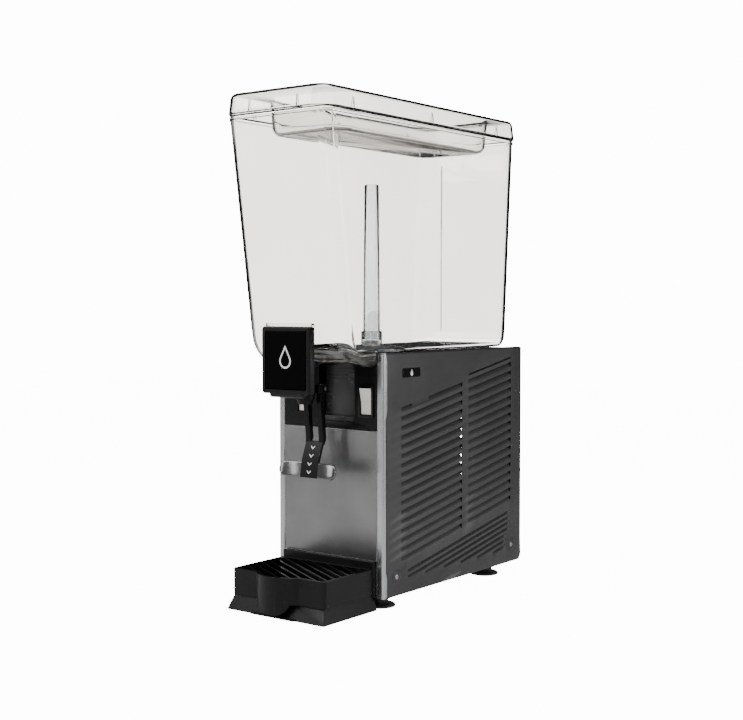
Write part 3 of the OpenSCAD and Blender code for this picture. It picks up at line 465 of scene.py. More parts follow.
zinc_steel = finish("zinc_steel", paint(176, 178, 180), paint(156, 158, 162), 0.34, metal=1,
                    edge_color=paint(210, 210, 210), grain_scale=260, relief=0.04, drift_scale=60)
badge_black = finish("badge_black", paint(5, 5, 5), paint(8, 8, 8), 0.12, edge_color=paint(40, 40, 40),
                     smudges=0.02, Specular_IOR_Level=0.1)
print_white = finish("print_white", paint(236, 236, 234), paint(226, 226, 224), 0.4, relief=0.01)
screw_places = [(y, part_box("panel_screws")[0].z + 4 * mm) for y in (front + 30 * mm, rear - 28.4 * mm)]
screws, bosses = bmesh.new(), bmesh.new()
for side in (-1, 1):
    for y, z in screw_places:
        outside = (side, 0, 0)
        place = (side * half_width, y, z)
        spun(bosses, [(3.4 * mm, 0), (4.2 * mm, 0.5 * mm), (5.4 * mm, 0.8 * mm), (7.4 * mm, 0.8 * mm),
                      (8.8 * mm, 0.45 * mm), (9.6 * mm, -0.2 * mm)], place, outside)
        spun(screws, [(0, 0.25 * mm), (0.8 * mm, 0.25 * mm), (0.9 * mm, 0.7 * mm), (2.2 * mm, 0.66 * mm),
                      (3.2 * mm, 0.4 * mm), (3.4 * mm, 0), (2 * mm, -0.2 * mm), (2 * mm, -8 * mm), (0, -8 * mm)],
             place, outside, 24)
add_piece(bosses, "screw_bosses", "machine", side_paint, outward=(0, 0, 0))
add_piece(screws, "side_screws", "machine", zinc_steel, ["panel_screws"])
badge_low, badge_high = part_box("side_badges")
badges, drops = bmesh.new(), bmesh.new()
badge_y, badge_z = (badge_low.y + badge_high.y) / 2, (badge_low.z + badge_high.z) / 2
badge_hy, badge_hz = (badge_high.y - badge_low.y) / 2, (badge_high.z - badge_low.z) / 2
for side in (-1, 1):
    x = side * (half_width + 0.05 * mm)
    corners = [(x, badge_y + a * badge_hy, badge_z + b * badge_hz)
               for a, b in ((-1, -1), (1, -1), (1, 1), (-1, 1))]
    extruded(badges, corners, (side * 0.65 * mm, 0, 0))
    face_x = side * (half_width + 0.7 * mm)
    extruded(drops, [(face_x, badge_y + a, badge_z + b) for a, b in drop(9 * mm)], (side * 0.1 * mm, 0, 0))
bevel(badges, [e for e in badges.edges if abs(e.verts[0].co.x - e.verts[1].co.x) > 0.1 * mm], 1.5 * mm, 4)
badge_piece = add_piece(badges, "badge_plates", "machine", badge_black, ["side_badges"])
soften(badge_piece, 0.15 * mm)
add_piece(drops, "badge_drops", "machine", print_white)

# ---- Front frame ----
# Two upright strips of bright stainless sheet with rounded outer corners frame the front. Their
# side flanges are wide at the top and the bottom, step in between, and lie over the side panels.
steel_bright = finish("steel_bright", paint(196, 197, 199), paint(178, 180, 184), 0.26, metal=1,
                      edge_color=paint(235, 235, 235), wear=0.3, grain_scale=60, stretch=(40, 40, 1),
                      relief=0.03, smudges=0.05, Anisotropic=0.4)
strip_inner = half_width - 10.5 * mm
strip_r = 3.5 * mm
frame_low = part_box("front_frame")[0].z
# Height above the floor and reach of the side flange behind the front face
flange = [(frame_low, 4.2), (frame_low + 3 * mm, 6.6), (frame_low + 26 * mm, 6.8), (frame_low + 34 * mm, 4.6),
          (deck - 88 * mm, 4.4), (deck - 75 * mm, 7), (deck - 13 * mm, 7), (deck - 5 * mm, 6), (deck, 4.2)]


def strip_section(reach, inset):
    """Points across a strip, from its inner return round the corner to the flange's raised hem."""
    outer = half_width - inset
    points = [(strip_inner, front + 6 * mm), (strip_inner, front + inset + 0.8 * mm),
              (strip_inner + 0.8 * mm, front + inset)]
    points += arc((outer - strip_r, front + inset + strip_r), strip_r, -90, 0, 6)
    if inset:
        return points + [(outer, front + reach)]
    hem = outer + 0.55 * mm
    return points + [(outer, front + reach - 0.6 * mm), (hem, front + reach - 0.2 * mm),
                     (hem, front + reach + 0.5 * mm), (outer, front + reach + 0.9 * mm)]


frame_steel = bmesh.new()
for side in (-1, 1):
    for inset, profile in ((0, flange), (1.6 * mm, [(frame_low + 1 * mm, 9.4), (deck - 1 * mm, 9.4)])):
        loops = []
        for z, reach in profile:
            verts = [frame_steel.verts.new((side * x, y, z)) for x, y in strip_section(reach * mm, inset)]
            loops.append([frame_steel.edges.new(pair) for pair in zip(verts, verts[1:])])
        for lower, upper in zip(loops, loops[1:]):
            bmesh.ops.bridge_loops(frame_steel, edges=lower + upper)
panel_low, panel_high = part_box("front_panel")
bottom_rail = [(x, front + 0.6 * mm, z) for x, z in ((-strip_inner, frame_low), (strip_inner, frame_low),
                                                      (strip_inner, panel_low.z), (-strip_inner, panel_low.z))]
frame_steel.faces.new([frame_steel.verts.new(p) for p in bottom_rail])
frame_piece = add_piece(frame_steel, "frame_strips", "machine", steel_bright, ["front_frame"],
                        outward=(0, -1, 0))
thicken(frame_piece, 0.8 * mm)
soften(frame_piece, 0.2 * mm, 2, 50)

# ---- Front panel ----
# A folded stainless sheet, brushed from side to side, closes the front below the switches.
steel_brushed = finish("steel_brushed", paint(140, 140, 141), paint(128, 128, 130), 0.36, metal=1,
                       edge_color=paint(205, 205, 205), wear=0.3, grain_scale=60, stretch=(1, 40, 40),
                       relief=0.035, smudges=0.07, Anisotropic=0.55)
front_sheet = bmesh.new()
face = front_sheet.faces.new([front_sheet.verts.new((x, panel_low.y, z)) for x, z in (
    (panel_low.x, panel_low.z), (panel_high.x, panel_low.z),
    (panel_high.x, panel_high.z), (panel_low.x, panel_high.z))])
rim = face.edges[:]
moved_copy(front_sheet, rim, (0, 8 * mm, 0))
bevel(front_sheet, rim, 1.2 * mm, 4)
front_piece = add_piece(front_sheet, "front_sheet", "machine", steel_brushed, ["front_panel"],
                        outward=(0, -1, 0))
thicken(front_piece, sheet)

# ---- Control panel and switches ----
# One black moulding carries the two rocker switches and the round-cornered niche behind the tap.
# Ribs cross the niche at the top, and a ledge runs along its floor.
black_plastic = finish("black_plastic", paint(9, 9, 10), paint(6, 6, 7), 0.34, edge_color=paint(40, 40, 40),
                       wear=0.3, grain_scale=1300, relief=0.06, smudges=0.07, Specular_IOR_Level=0.2)
black_gloss = finish("black_gloss", paint(8, 8, 9), paint(11, 11, 12), 0.16, edge_color=paint(50, 50, 50),
                     wear=0.3, grain_scale=700, relief=0.015, smudges=0.05, Specular_IOR_Level=0.35)
niche_gloss = finish("niche_gloss", paint(46, 46, 47), paint(38, 38, 39), 0.24, edge_color=paint(90, 90, 90),
                     grain_scale=700, relief=0.03, smudges=0.08)
white_plastic = finish("white_plastic", paint(232, 230, 224), paint(224, 221, 214), 0.3,
                       edge_color=paint(245, 244, 240), grain_scale=900, relief=0.03)


def trimmed(name, source, body, material, width=0.5 * mm, segments=2, sharp=35, angle=40):
    """A node's own shape, with its loose triangles merged to faces and its edges rounded."""
    form = bmesh.new()
    form.from_mesh(nodes[source].data)
    bmesh.ops.remove_doubles(form, verts=form.verts, dist=0.002 * mm)
    bmesh.ops.dissolve_limit(form, angle_limit=math.radians(1), verts=form.verts, edges=form.edges)
    made = add_piece(form, name, body, material, [source], sharp)
    if width:
        soften(made, width, segments, angle)
    return made


trimmed("control_moulding", "control_panel", "machine", black_plastic, 0.6 * mm)
trimmed("switch_bezels", "switch_bodies", "machine", black_gloss, 0.4 * mm)
trimmed("power_switch", "power_rocker", "power_rocker", white_plastic, 0.5 * mm)
trimmed("pump_switch", "pump_rocker", "pump_rocker", white_plastic, 0.5 * mm)
niche_left, niche_right = -20 * mm, 42 * mm
ledge_z = deck - 92.4 * mm
plate_form = bmesh.new()
corner = 7 * mm
plate_points = [(niche_right - 1 * mm, deck - 12 * mm), (niche_left + 1 * mm, deck - 12 * mm)]
plate_points += arc((niche_left + 1 * mm + corner, ledge_z + corner), corner, 180, 270, 6)
plate_points += arc((niche_right - 1 * mm - corner, ledge_z + corner), corner, 270, 360, 6)
extruded(plate_form, [(x, front + 17.9 * mm, z) for x, z in plate_points], (0, -0.7 * mm, 0))
add_piece(plate_form, "niche_plate", "machine", niche_gloss)
ribs_form = bmesh.new()
for i in range(5):
    z = deck - (19 + 4.4 * i) * mm
    extruded(ribs_form, [(x, front + 17.9 * mm, z + dz) for x, dz in (
        (niche_left + 4 * mm, 0), (niche_right - 4 * mm, 0),
        (niche_right - 4 * mm, 2 * mm), (niche_left + 4 * mm, 2 * mm))],
        (0, -1.6 * mm, 0))
extruded(ribs_form, [(x, y, ledge_z) for x, y in (
    (niche_left + 5 * mm, front + 17.9 * mm), (niche_left + 5 * mm, front + 7 * mm),
    (niche_right - 5 * mm, front + 7 * mm), (niche_right - 5 * mm, front + 17.9 * mm))],
         (0, 0, 7 * mm))
rib_piece = add_piece(ribs_form, "niche_ribs", "machine", niche_gloss)
soften(rib_piece, 0.5 * mm)

# ---- Bowl ----
# The bowl is one clear polycarbonate moulding with a 3 mm wall. Its front leans out over the tap
# and ends in a round sump, its floor has a hole for the cold dome, and a bead runs below the rim.
bowl_wall = 3 * mm
bowl_floor = deck + 1.9 * mm
rim_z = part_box("lid")[1].z - 27.7 * mm
bowl_half = 85.5 * mm
bowl_front = front - 111 * mm
bowl_rear = rear - 2.5 * mm
sump_r = 50 * mm
sump_y = front - 23 * mm
sump_z = deck + 33.4 * mm
sump_back = front - 3 * mm
bowl_corner = 18 * mm
pump_y = (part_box("evaporator_dome")[0].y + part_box("evaporator_dome")[1].y) / 2


def clear_plastic(name, color, drift_color, index, smudges, rim=None):
    """A clear moulding with soft smudges and shallow waves; given a rim colour, it also gets painted dark shade in
    that colour where it turns away from the view.
    """
    made = finish(name, color, drift_color, 0.02 + smudges, grain_scale=7, relief=0.02, smudges=smudges,
                  stretch=(1, 1, 0.3), IOR=index, Transmission_Weight=1)
    if rim:
        tree = made.node_tree
        base = tree.nodes["Principled BSDF"].inputs["Base Color"]
        facing = node(tree, "LayerWeight").outputs["Facing"]
        share = maths(tree, "MULTIPLY", maths(tree, "SUBTRACT", facing, 0.5), 7)
        tree.links.new(mixed(tree, share, base.links[0].from_socket, rim), base)
    return made


bowl_plastic = clear_plastic("bowl_plastic", paint(252, 250, 247), paint(248, 246, 242), 1.58, 0.006)
# Painted shade: the rounded corners darken towards near-black where they turn away, standing in for the dark edges
# that refraction makes.
edge_shade_plastic = clear_plastic("bowl_painted_edge_shade", paint(252, 250, 247), paint(248, 246, 242), 1.58, 0.006,
                               paint(12, 12, 14))
lid_plastic = clear_plastic("lid_plastic", paint(250, 249, 247), paint(245, 244, 241), 1.58, 0.008)
tube_plastic = clear_plastic("tube_plastic", paint(224, 227, 229), paint(214, 218, 221), 1.49, 0.01)


def level(z):
    """Half width, front, rear and rear corner radius of the bowl at a height."""
    up = (z - sump_z) / (rim_z - sump_z)
    low_rear = rear - 20.5 * mm
    if up > 0:
        near = sump_y - sump_r + (bowl_front - sump_y + sump_r) * up
    else:
        near = sump_y - math.sqrt(max(0, sump_r ** 2 - (sump_z - z) ** 2))
    up = (z - bowl_floor) / (rim_z - bowl_floor)
    foot = max(0, 18 * mm - (z - bowl_floor))
    tuck = 18 * mm - math.sqrt(max(0, (18 * mm) ** 2 - foot ** 2))
    far = low_rear + (bowl_rear - low_rear) * up - tuck
    return bowl_half - 1.8 * mm * (1 - up), near, far, 28 * mm


def bowl_points(z, out=0):
    """A ring round the bowl from the sump's back on the left, by the front, to the left again."""
    half, near, far, corner = level(z)
    half, near, far = half + out, near - out, far + out
    points = [(-half, sump_back)]
    points += arc((-half + bowl_corner, near + bowl_corner), bowl_corner, -180, -90, 16)
    points += arc((half - bowl_corner, near + bowl_corner), bowl_corner, -90, 0, 16)
    points += [(half, sump_back)]
    points += arc((half - corner, far - corner), corner, 0, 90, 20)
    points += arc((-half + corner, far - corner), corner, 90, 180, 20)
    return [(x, y, z) for x, y in points]


def ring(form, points):
    verts = [form.verts.new(p) for p in points]
    return [form.edges.new(pair) for pair in zip(verts, verts[1:] + verts[:1])]


def loft(form, rings):
    """Skins a row of rings and returns their loops of edges."""
    loops = [ring(form, points) for points in rings]
    for lower, upper in zip(loops, loops[1:]):
        bmesh.ops.bridge_loops(form, edges=lower + upper)
    return loops


bowl_form = bmesh.new()
heights = [rim_z, rim_z - 3.4 * mm, rim_z - 4 * mm, rim_z - 6.6 * mm, rim_z - 7.4 * mm]
outs = [0, 0, 0.8 * mm, 0.8 * mm, 0]
heights += [rim_z - 60 * mm * i for i in range(1, 5)] + [sump_z]
heights += [bowl_floor + 18 * mm * (1 - math.sin(math.radians(15 * i))) for i in range(1, 6)] + [bowl_floor]
outs += [0] * (len(heights) - len(outs))
loops = loft(bowl_form, [bowl_points(z, out) for z, out in zip(heights, outs)])
last = [e for e in bowl_form.edges if all(abs(v.co.z - bowl_floor) < 1e-7 for v in e.verts)]
waist = [v for v in bowl_form.verts if abs(v.co.z - bowl_floor) < 1e-7 and abs(v.co.y - sump_back) < 1e-6]
step_edge = bowl_form.edges.new(waist)
floor_edges = [e for e in last if min(v.co.y for v in e.verts) > sump_back - 1e-6] + [step_edge]
hole = [(x, y, bowl_floor) for x, y in arc((0, pump_y), 58 * mm, 0, 352.5, 47)]
bmesh.ops.triangle_fill(bowl_form, edges=floor_edges + ring(bowl_form, hole), use_beauty=True)


def sump_points(turn):
    """The sump's outline at an angle round its lower front arc: four sides with round front corners."""
    z = sump_z - sump_r * math.sin(math.radians(turn))
    reach = sump_r * math.cos(math.radians(turn))
    half = level(bowl_floor)[0]
    near, far = sump_y - reach, min(sump_back, sump_y + reach)
    corner = min(bowl_corner, 0.45 * (far - near))
    points = [(-half, far)] + arc((-half + corner, near + corner), corner, -180, -90, 16)
    points += arc((half - corner, near + corner), corner, -90, 0, 16) + [(half, far)]
    return [(x, y, z) for x, y in points]


sump_edges = [e for e in last if max(v.co.y for v in e.verts) < sump_back + 1e-6] + [step_edge]
start_turn = math.degrees(math.asin((sump_z - bowl_floor) / sump_r))
turns = [start_turn + (88 - start_turn) * i / 9 for i in range(1, 10)]
sump_loops = loft(bowl_form, [sump_points(turn) for turn in turns])
bmesh.ops.bridge_loops(bowl_form, edges=sump_edges + sump_loops[0])
bmesh.ops.edgeloop_fill(bowl_form, edges=sump_loops[-1])
bowl_piece = add_piece(bowl_form, "clear_bowl", "bowl", bowl_plastic, ["bowl"], sharp=50,
                       outward=None)
# The corner faces take the plastic with the painted dark edge shade.
bowl_piece.data.materials.append(edge_shade_plastic)
for face in bowl_piece.data.polygons:
    if min(abs(face.normal.x), abs(face.normal.y)) > 0.05 and abs(face.normal.z) < 0.5:
        face.material_index = 1
thicken(bowl_piece, bowl_wall)
seam = bmesh.new()
seam_ends = [(-43 * mm, deck + 22 * mm), (-53 * mm, rim_z - 30 * mm)]
seam_points = []
for x, z in seam_ends:
    seam_points.append([(x + a * mm, level(z)[2] - bowl_wall + b * mm, z) for a, b in (
        (-0.8, 0.1), (0.8, 0.1), (0.5, -1.8), (-0.5, -1.8))])
loft_ends = loft(seam, seam_points)
for end in loft_ends:
    bmesh.ops.edgeloop_fill(seam, edges=end)
add_piece(seam, "bowl_seam", "bowl", bowl_plastic)
neck = bmesh.new()
neck_y = front - 50 * mm
neck_low = deck - 30.6 * mm
spun(neck, [(9 * mm, 21 * mm), (9 * mm, 0), (12.5 * mm, 0), (12.5 * mm, 21 * mm), (9 * mm, 21 * mm)],
     (0, neck_y, neck_low))
add_piece(neck, "bowl_neck", "bowl", bowl_plastic)

# ---- Lid ----
# The lid is a thinner clear moulding: a skirt with a rounded shoulder, and a long oval well that
# hangs into the bowl. Small ribs inside the skirt keep it on the bowl's rim.
lid_low, lid_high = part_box("lid")
lid_half = lid_high.x
lid_wall = 3 * mm
well_floor = lid_low.z + lid_wall
well_x = 64 * mm
well_front, well_rear = front - 58 * mm, rear - 46 * mm


def rounded(half, near, far, corner, z, steps=8):
    """A rectangle with round corners, centred across the machine, at one height."""
    points = []
    places = ((-1, near + corner), (1, near + corner), (1, far - corner), (-1, far - corner))
    for i, (x, y) in enumerate(places):
        points += arc((x * (half - corner), y), corner, -180 + 90 * i, -90 + 90 * i, steps)
    return [(x, y, z) for x, y in points]


lid_form = bmesh.new()
shoulder = 8 * mm
skirt = [(lid_half, lid_low.y, lid_high.y, 25 * mm, rim_z + 0.3 * mm)]
skirt += [(lid_half, lid_low.y, lid_high.y, 25 * mm, rim_z + 3 * mm)]
for i in range(1, 7):
    turn = math.radians(15 * i)
    inset = 2 * mm + shoulder * (1 - math.cos(turn))
    height = lid_high.z - shoulder * (1 - math.sin(turn))
    skirt.append((lid_half - inset, lid_low.y + inset, lid_high.y - inset, 25 * mm - inset, height))
lip = 5 * mm
for i in range(1, 7):
    turn = math.radians(15 * i)
    inset = lip * (1 - math.sin(turn))
    height = lid_high.z - lip * (1 - math.cos(turn))
    skirt.append((well_x + inset, well_front - inset, well_rear + inset, 30 * mm + inset, height))
for i in range(1, 7):
    turn = math.radians(15 * i)
    inset = 3 * mm + 9 * mm * (1 - math.cos(turn))
    height = well_floor + 9 * mm * (1 - math.sin(turn))
    skirt.append((well_x - inset, well_front + inset, well_rear - inset, 30 * mm - inset, height))
lid_loops = loft(lid_form, [rounded(*row) for row in skirt])
bmesh.ops.edgeloop_fill(lid_form, edges=lid_loops[-1])
lid_piece = add_piece(lid_form, "clear_lid", "lid", lid_plastic, ["lid"], sharp=60,
                      outward=(0, 0, 1))
thicken(lid_piece, lid_wall)
lid_ribs = bmesh.new()
for y in (lid_low.y + 60 * mm, lid_low.y + 235 * mm, lid_low.y + 400 * mm):
    for side in (-1, 1):
        x = side * (lid_half - 2.6 * mm)
        extruded(lid_ribs, [(x, y, rim_z + 2 * mm), (x - side * 5 * mm, y, rim_z + 2 * mm),
                            (x - side * 2.5 * mm, y, rim_z + 16 * mm), (x, y, rim_z + 16 * mm)], (0, 1.8 * mm, 0))
for x in (-40 * mm, 40 * mm):
    y = lid_low.y + 2.6 * mm
    extruded(lid_ribs, [(x, y, rim_z + 2 * mm), (x, y + 5 * mm, rim_z + 2 * mm),
                        (x, y + 2.5 * mm, rim_z + 16 * mm), (x, y, rim_z + 16 * mm)], (1.8 * mm, 0, 0))
add_piece(lid_ribs, "lid_ribs", "lid", lid_plastic)

# ---- Spray pump and cold dome ----
# A spun stainless dome cools the drink. The pump's cover and the tall spray tube stand on it, and
# a soft ring seals the bowl's floor round it.
dome_steel = finish("dome_steel", paint(118, 127, 143), paint(106, 116, 133), 0.3, metal=0.65,
                    edge_color=paint(200, 205, 212), grain_scale=300, relief=0.03)
dome_form = bmesh.new()
dome_low, dome_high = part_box("evaporator_dome")
dome_rise = dome_high.z - deck
dome_r = dome_high.x
dome_profile = [(dome_r - 1.2 * mm, dome_low.z), (dome_r, dome_low.z), (dome_r, deck + 2 * mm)]
dome_profile += arc((dome_r - 1.2 * mm, deck + 2 * mm), 1.2 * mm, 0, 80, 4)
dome_profile += [(dome_r - 6 * mm, deck + 0.62 * dome_rise), (0.7 * dome_r, deck + 0.8 * dome_rise),
                 (0.45 * dome_r, deck + 0.94 * dome_rise), (0.3 * dome_r, dome_high.z), (0, dome_high.z)]
spun(dome_form, dome_profile, (0, pump_y, 0), steps=72)
add_piece(dome_form, "cold_dome", "machine", dome_steel, ["evaporator_dome"],
          outward=(0, 0, 1))
deck_form = bmesh.new()
deck_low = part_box("top_deck")[0]
deck_x, deck_y = half_width - sheet - 0.1 * mm, (deck_low.y + 1 * mm, rear - sheet - 0.1 * mm)
deck_rim = ring(deck_form, [(x, y, deck - 1.3 * mm) for x, y in (
    (-deck_x, deck_y[0]), (deck_x, deck_y[0]), (deck_x, deck_y[1]), (-deck_x, deck_y[1]))])
hole = ring(deck_form, [(x, y, deck - 1.3 * mm)
                        for x, y in arc((0, pump_y), dome_r + 0.5 * mm, 0, 352.5, 47)])
bmesh.ops.triangle_fill(deck_form, edges=deck_rim + hole, use_beauty=True)
deck_piece = add_piece(deck_form, "deck_plate", "machine", dome_steel, ["top_deck"],
                       outward=(0, 0, 1))
thicken(deck_piece, sheet)
rubber = finish("rubber", paint(30, 30, 31), paint(26, 26, 27), 0.6, edge_color=paint(60, 60, 60), grain_scale=500,
                relief=0.15)
trimmed("dome_seal", "evaporator_gasket", "machine", rubber, 0.6 * mm)
tube_low, tube_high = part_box("spray_tube")
tube_r = tube_high.x
tube_form = bmesh.new()
tube_top_r = tube_r - 1.6 * mm
spun(tube_form, [(tube_r - 2 * mm, tube_low.z), (tube_r, tube_low.z), (tube_r, tube_low.z + 12 * mm),
                 (tube_top_r, tube_high.z - 1 * mm), (tube_top_r - 0.6 * mm, tube_high.z),
                 (tube_top_r - 1.4 * mm, tube_high.z), (tube_top_r - 2 * mm, tube_high.z - 1 * mm),
                 (tube_r - 2 * mm, tube_low.z + 12 * mm), (tube_r - 2 * mm, tube_low.z)], (0, pump_y, 0), steps=40)
add_piece(tube_form, "clear_tube", "spray_tube", tube_plastic, ["spray_tube"])
trimmed("pump_cup", "pump_cover", "spray_tube", tube_plastic, 0.4 * mm)
trimmed("pump_impeller", "impeller", "pump_rotor", white_plastic, 0.2 * mm)

# ---- Tap cover ----
# A black frame with a rolled lower edge clips over a clear carrier on the bowl's front. A gloss
# plate with a plain drop fills the frame.
cover_low, cover_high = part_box("tap_cover")
cover_hw = cover_high.x
lip_r = 5 * mm
frame_low_z = cover_low.z + lip_r


def frame_ring(inset, y, corner):
    """A round-cornered outline on the cover's face, drawn in by inset."""
    half = cover_hw - inset
    low, high = frame_low_z + inset, cover_high.z - inset
    points = []
    places = ((-1, low + corner), (1, low + corner), (1, high - corner), (-1, high - corner))
    for i, (side, z) in enumerate(places):
        points += arc((side * (half - corner), z), corner, -180 + 90 * i, -90 + 90 * i, 6)
    return [(x, y, z) for x, z in points]


cover_form = bmesh.new()
face_y, back_y = cover_low.y, cover_high.y - 0.2 * mm
cover_rows = [(3 * mm, back_y - 0.1 * mm, 1.6 * mm), (0, back_y, 4 * mm), (0, face_y + 2 * mm, 4 * mm),
              (0.3 * mm, face_y + 0.9 * mm, 4 * mm), (1 * mm, face_y + 0.25 * mm, 3.6 * mm),
              (2.2 * mm, face_y, 3 * mm), (5.6 * mm, face_y, 2 * mm), (6.4 * mm, face_y + 0.9 * mm, 1.6 * mm)]
cover_loops = loft(cover_form, [frame_ring(*row) for row in cover_rows])
bmesh.ops.edgeloop_fill(cover_form, edges=cover_loops[0])
bmesh.ops.edgeloop_fill(cover_form, edges=cover_loops[-1])
lip = [(y, z) for y, z in arc((face_y + lip_r, frame_low_z), lip_r - 0.1 * mm, -200, 20, 16)]
extruded(cover_form, [(-0.66 * cover_hw, y, z) for y, z in lip], (1.32 * cover_hw, 0, 0))
add_piece(cover_form, "cover_frame", "bowl", black_plastic, ["tap_cover"])
cover_gloss = finish("cover_gloss", paint(1, 1, 1), paint(2, 2, 2), 0.1, edge_color=paint(24, 24, 24),
                     grain_scale=700, relief=0.01, smudges=0.02, Specular_IOR_Level=0.08)
trimmed("cover_plate", "label_plate", "bowl", cover_gloss, 0.3 * mm)
trimmed("cover_clip", "cover_carrier", "bowl", bowl_plastic, 0.4 * mm)
plate_low, plate_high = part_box("label_plate")
emblem = bmesh.new()
emblem_z = (plate_low.z + plate_high.z) / 2 + 4 * mm
outline = drop(30 * mm)
inner = [(0.78 * x, 0.78 * z - 1 * mm) for x, z in outline]
rings = [ring(emblem, [(x, plate_low.y, emblem_z + z) for x, z in points]) for points in (outline, inner)]
bmesh.ops.bridge_loops(emblem, edges=rings[0] + rings[1])
solid = bmesh.ops.extrude_face_region(emblem, geom=emblem.faces[:])["geom"]
raised = [v for v in solid if isinstance(v, bmesh.types.BMVert)]
bmesh.ops.translate(emblem, vec=(0, -0.15 * mm, 0), verts=raised)
add_piece(emblem, "cover_drop", "bowl", print_white)

# ---- Tap ----
# The ribbed nut holds the tap's body to the bowl's neck. The lever turns on a steel pin, and its
# two arms run down to a flat strip and a wide, hollow paddle.
trimmed("ribbed_nut", "tap_nut", "bowl", black_plastic, 0.3 * mm)
trimmed("spout_body", "tap_body", "bowl", black_plastic, 0.4 * mm)
lever_low, lever_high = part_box("lever")
paddle_low = lever_low.z
pivot_y, pivot_z = front - 31 * mm, lever_high.z - 6 * mm
elbow_y, elbow_z = front - 28.5 * mm, paddle_low + 48 * mm
arm_in, arm_out = 7 * mm, 15 * mm
lever_form = bmesh.new()
arm = [(pivot_y - 4 * mm, pivot_z), (pivot_y - 6 * mm, pivot_z - 20 * mm), (elbow_y - 3 * mm, elbow_z + 4 * mm),
       (elbow_y - 4 * mm, elbow_z - 5 * mm), (elbow_y, elbow_z - 5 * mm), (elbow_y + 4 * mm, elbow_z + 4 * mm),
       (pivot_y + 2 * mm, pivot_z - 20 * mm), (pivot_y + 5 * mm, pivot_z)]
for side in (-1, 1):
    extruded(lever_form, [(side * arm_in, y, z) for y, z in arm], (side * (arm_out - arm_in), 0, 0))
hub = arc((pivot_y, pivot_z), 6 * mm, 0, 345, 23)
extruded(lever_form, [(-arm_out, y, z) for y, z in hub], (2 * arm_out, 0, 0))
blade = [(front - 44.6 * mm, paddle_low + 0.3 * mm), (front - 41.4 * mm, paddle_low + 21 * mm),
         (elbow_y - 3.1 * mm, elbow_z)]
behind = [(elbow_y + 0.9 * mm, elbow_z), (front - 37.6 * mm, paddle_low + 21 * mm),
          (front - 40.6 * mm, paddle_low + 0.3 * mm)]
extruded(lever_form, [(-14.5 * mm, y, z) for y, z in blade + behind], (29 * mm, 0, 0))
finger = [(-2.9 * mm, y, pivot_z + h) for y, h in ((front - 46.1 * mm, -1.8 * mm), (pivot_y, -1.8 * mm),
                                                    (pivot_y, 1.8 * mm), (front - 46.1 * mm, 1.8 * mm))]
extruded(lever_form, finger, (5.8 * mm, 0, 0))
lever_piece = add_piece(lever_form, "tap_lever", "lever", black_plastic, ["lever"])
soften(lever_piece, 0.7 * mm, 3, 30)
paddle_shine = finish("paddle_shine", paint(120, 120, 121), paint(104, 104, 106), 0.13, metal=1,
                      edge_color=paint(190, 190, 190), wear=0.4, grain_scale=800, relief=0.02, smudges=0.05)
paddle_half, paddle_mid = lever_high.x, paddle_low + 10.5 * mm
paddle_form = bmesh.new()
paddle_rows = []
for i in range(37):
    x = paddle_half * math.sin(math.radians(-88 + 176 * i / 36))
    past = max(0, abs(x) - paddle_half + 9 * mm)
    half = 1.2 * mm + math.sqrt((9 * mm) ** 2 - past ** 2)
    middle = front - 230.6 * mm + math.sqrt((190 * mm) ** 2 - x ** 2)
    row = [(u, half - 1.6 * mm + v) for u, v in arc((0, 0), 1.6 * mm, 0, 180, 8)]
    row += [(u, -half + 1.6 * mm + v) for u, v in arc((0, 0), 1.6 * mm, 180, 360, 8)]
    paddle_rows.append([(x, middle + u + 0.16 * v, paddle_mid + v) for u, v in row])
paddle_loops = loft(paddle_form, paddle_rows)
for end in (paddle_loops[0], paddle_loops[-1]):
    bmesh.ops.edgeloop_fill(paddle_form, edges=end)
add_piece(paddle_form, "lever_paddle", "lever", paddle_shine, sharp=45)
marks = bmesh.new()


def on_blade(z):
    """The blade's front face at a height, from its two slopes."""
    low, high = (blade[0], blade[1]) if z < blade[1][1] else (blade[1], blade[2])
    return low[0] + (z - low[1]) / (high[1] - low[1]) * (high[0] - low[0])


for i in range(4):
    heights = [(7 + 10.6 * i + h) * mm for h in (3.4, 1.6, -1.6, 1.6, 3.4, 0.2)]
    points = []
    for x, height in zip((-3.2, -3.2, 0, 3.2, 3.2, 0), heights):
        points.append((x * mm, on_blade(paddle_low + height), paddle_low + height))
    extruded(marks, points, (0, -0.15 * mm, 0))
add_piece(marks, "lever_marks", "lever", print_white)

# ---- Drip tray ----
# A flared black foot and a holder carry the tray, whose round front lobe reaches low for
# emptying. A slanted-bar grid drops into the tray's rim.
trimmed("tray_bracket", "tray_holder", "machine", black_plastic, 0.4 * mm)
trimmed("tray_foot", "tray_base", "machine", black_plastic, 0.3 * mm)
trimmed("tray_bin", "drip_tray", "drip_tray", black_plastic, 0.7 * mm, 3)
trimmed("tray_grid", "drip_grid", "drip_grid", black_gloss, 0.4 * mm)

lobe_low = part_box("drip_tray")[0].y
# Painted shade: a thin black sheet in the foot's open underside keeps the bright floor from showing through under
# the lobe, where shade would fall.
hollow = bmesh.new()
extruded(hollow, [(x, y, 0.8 * mm) for x, y in ((-36 * mm, lobe_low + 4 * mm), (36 * mm, lobe_low + 4 * mm),
                                                (36 * mm, lobe_low + 60 * mm), (-36 * mm, lobe_low + 60 * mm))],
         (0, 0, 2 * mm))
add_piece(hollow, "tray_foot_shade_sheet", "machine", black_plastic)

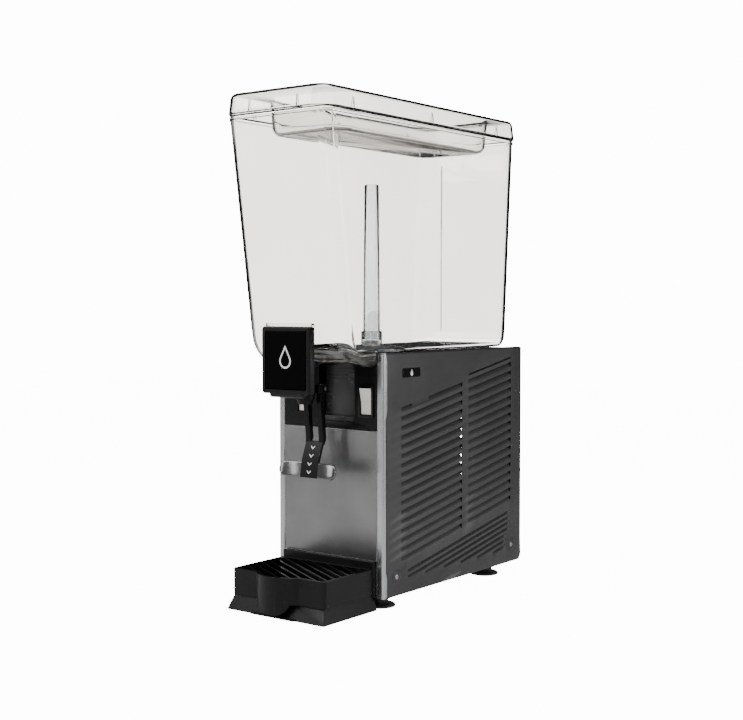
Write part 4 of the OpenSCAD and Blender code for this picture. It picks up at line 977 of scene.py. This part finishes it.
# ---- Feet ----
# Turned rubber feet on threaded studs, each with a wide thin pad below a waist.
feet_form = bmesh.new()
feet_low, feet_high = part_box("feet")
foot_r = 21 * mm
for x in (feet_low.x + foot_r, feet_high.x - foot_r):
    for y in (feet_low.y + foot_r, feet_high.y - foot_r):
        spun(feet_form, [(0, 0), (19 * mm, 0), (20.4 * mm, 0.4 * mm), (21 * mm, 1.4 * mm), (20.6 * mm, 3 * mm),
                         (18.6 * mm, 4.2 * mm), (12.5 * mm, 5.4 * mm), (11 * mm, 7 * mm), (11 * mm, 10 * mm),
                         (13.6 * mm, 10.8 * mm), (14 * mm, 12 * mm), (14 * mm, 14 * mm), (13.4 * mm, 14.4 * mm),
                         (4 * mm, 14.4 * mm), (4 * mm, 21 * mm), (0, 21 * mm)], (x, y, 0))
add_piece(feet_form, "rubber_feet", "machine", rubber, ["feet"])

# ---- What stays as it is ----
# The pan, cooling parts, motors and small pieces inside are plain shapes that only need their real finishes, but
# for the motor and fan brackets: these take the black compressor paint as painted shade, so they stay dark behind
# the louvres.
foam = finish("foam", paint(214, 190, 140), paint(200, 174, 122), 0.85, grain_scale=240, relief=0.4)
copper = finish("copper", paint(196, 122, 84), paint(170, 98, 66), 0.3, metal=1, edge_color=paint(225, 160, 120),
                grain_scale=300, relief=0.05, drift_scale=40)
enamel_and_bracket_shade = finish("compressor_enamel", paint(24, 24, 25), paint(30, 30, 32), 0.35, edge_color=paint(70, 70, 70),
                grain_scale=500, relief=0.08)
aluminium = finish("fin_aluminium", paint(198, 200, 202), paint(182, 184, 188), 0.32, metal=1,
                   edge_color=paint(230, 230, 230), grain_scale=300, relief=0.03)
motor_steel = finish("motor_steel", paint(112, 114, 118), paint(98, 100, 104), 0.42, metal=0.9,
                     edge_color=paint(165, 165, 165), grain_scale=500, relief=0.08)
ivory = finish("ivory_plastic", paint(226, 218, 196), paint(216, 206, 182), 0.45, edge_color=paint(238, 232, 214),
               grain_scale=700, relief=0.05)
dark_moulding = finish("dark_moulding", paint(30, 30, 31), paint(26, 26, 27), 0.5, edge_color=paint(70, 70, 70),
                       grain_scale=900, relief=0.1)
dress = {
    zinc_steel: ["base_pan", "rear_panel", "cross_brace", "compressor_bolts", "lever_pin", "tap_spring",
                 "thermostat"],
    foam: ["insulation"],
    copper: ["evaporator_coil", "filter_drier", "capillary_tube", "discharge_pipe", "suction_pipe"],
    # The black is the compressor's real paint; on the motor and fan brackets it is painted shade.
    enamel_and_bracket_shade: ["compressor", "motor_bracket", "fan_bracket"],
    rubber: ["compressor_grommets", "piston_seals"],
    ivory: ["start_relay", "terminal_block", "tap_piston"],
    aluminium: ["condenser", "fan_blade"],
    motor_steel: ["fan_motor", "pump_motor", "drive_magnet"],
    dark_moulding: ["fan_shroud", "power_inlet", "thermostat_spindle"],
}
for material, names in dress.items():
    for name in names:
        for place in nodes[name].material_slots:
            place.material = material
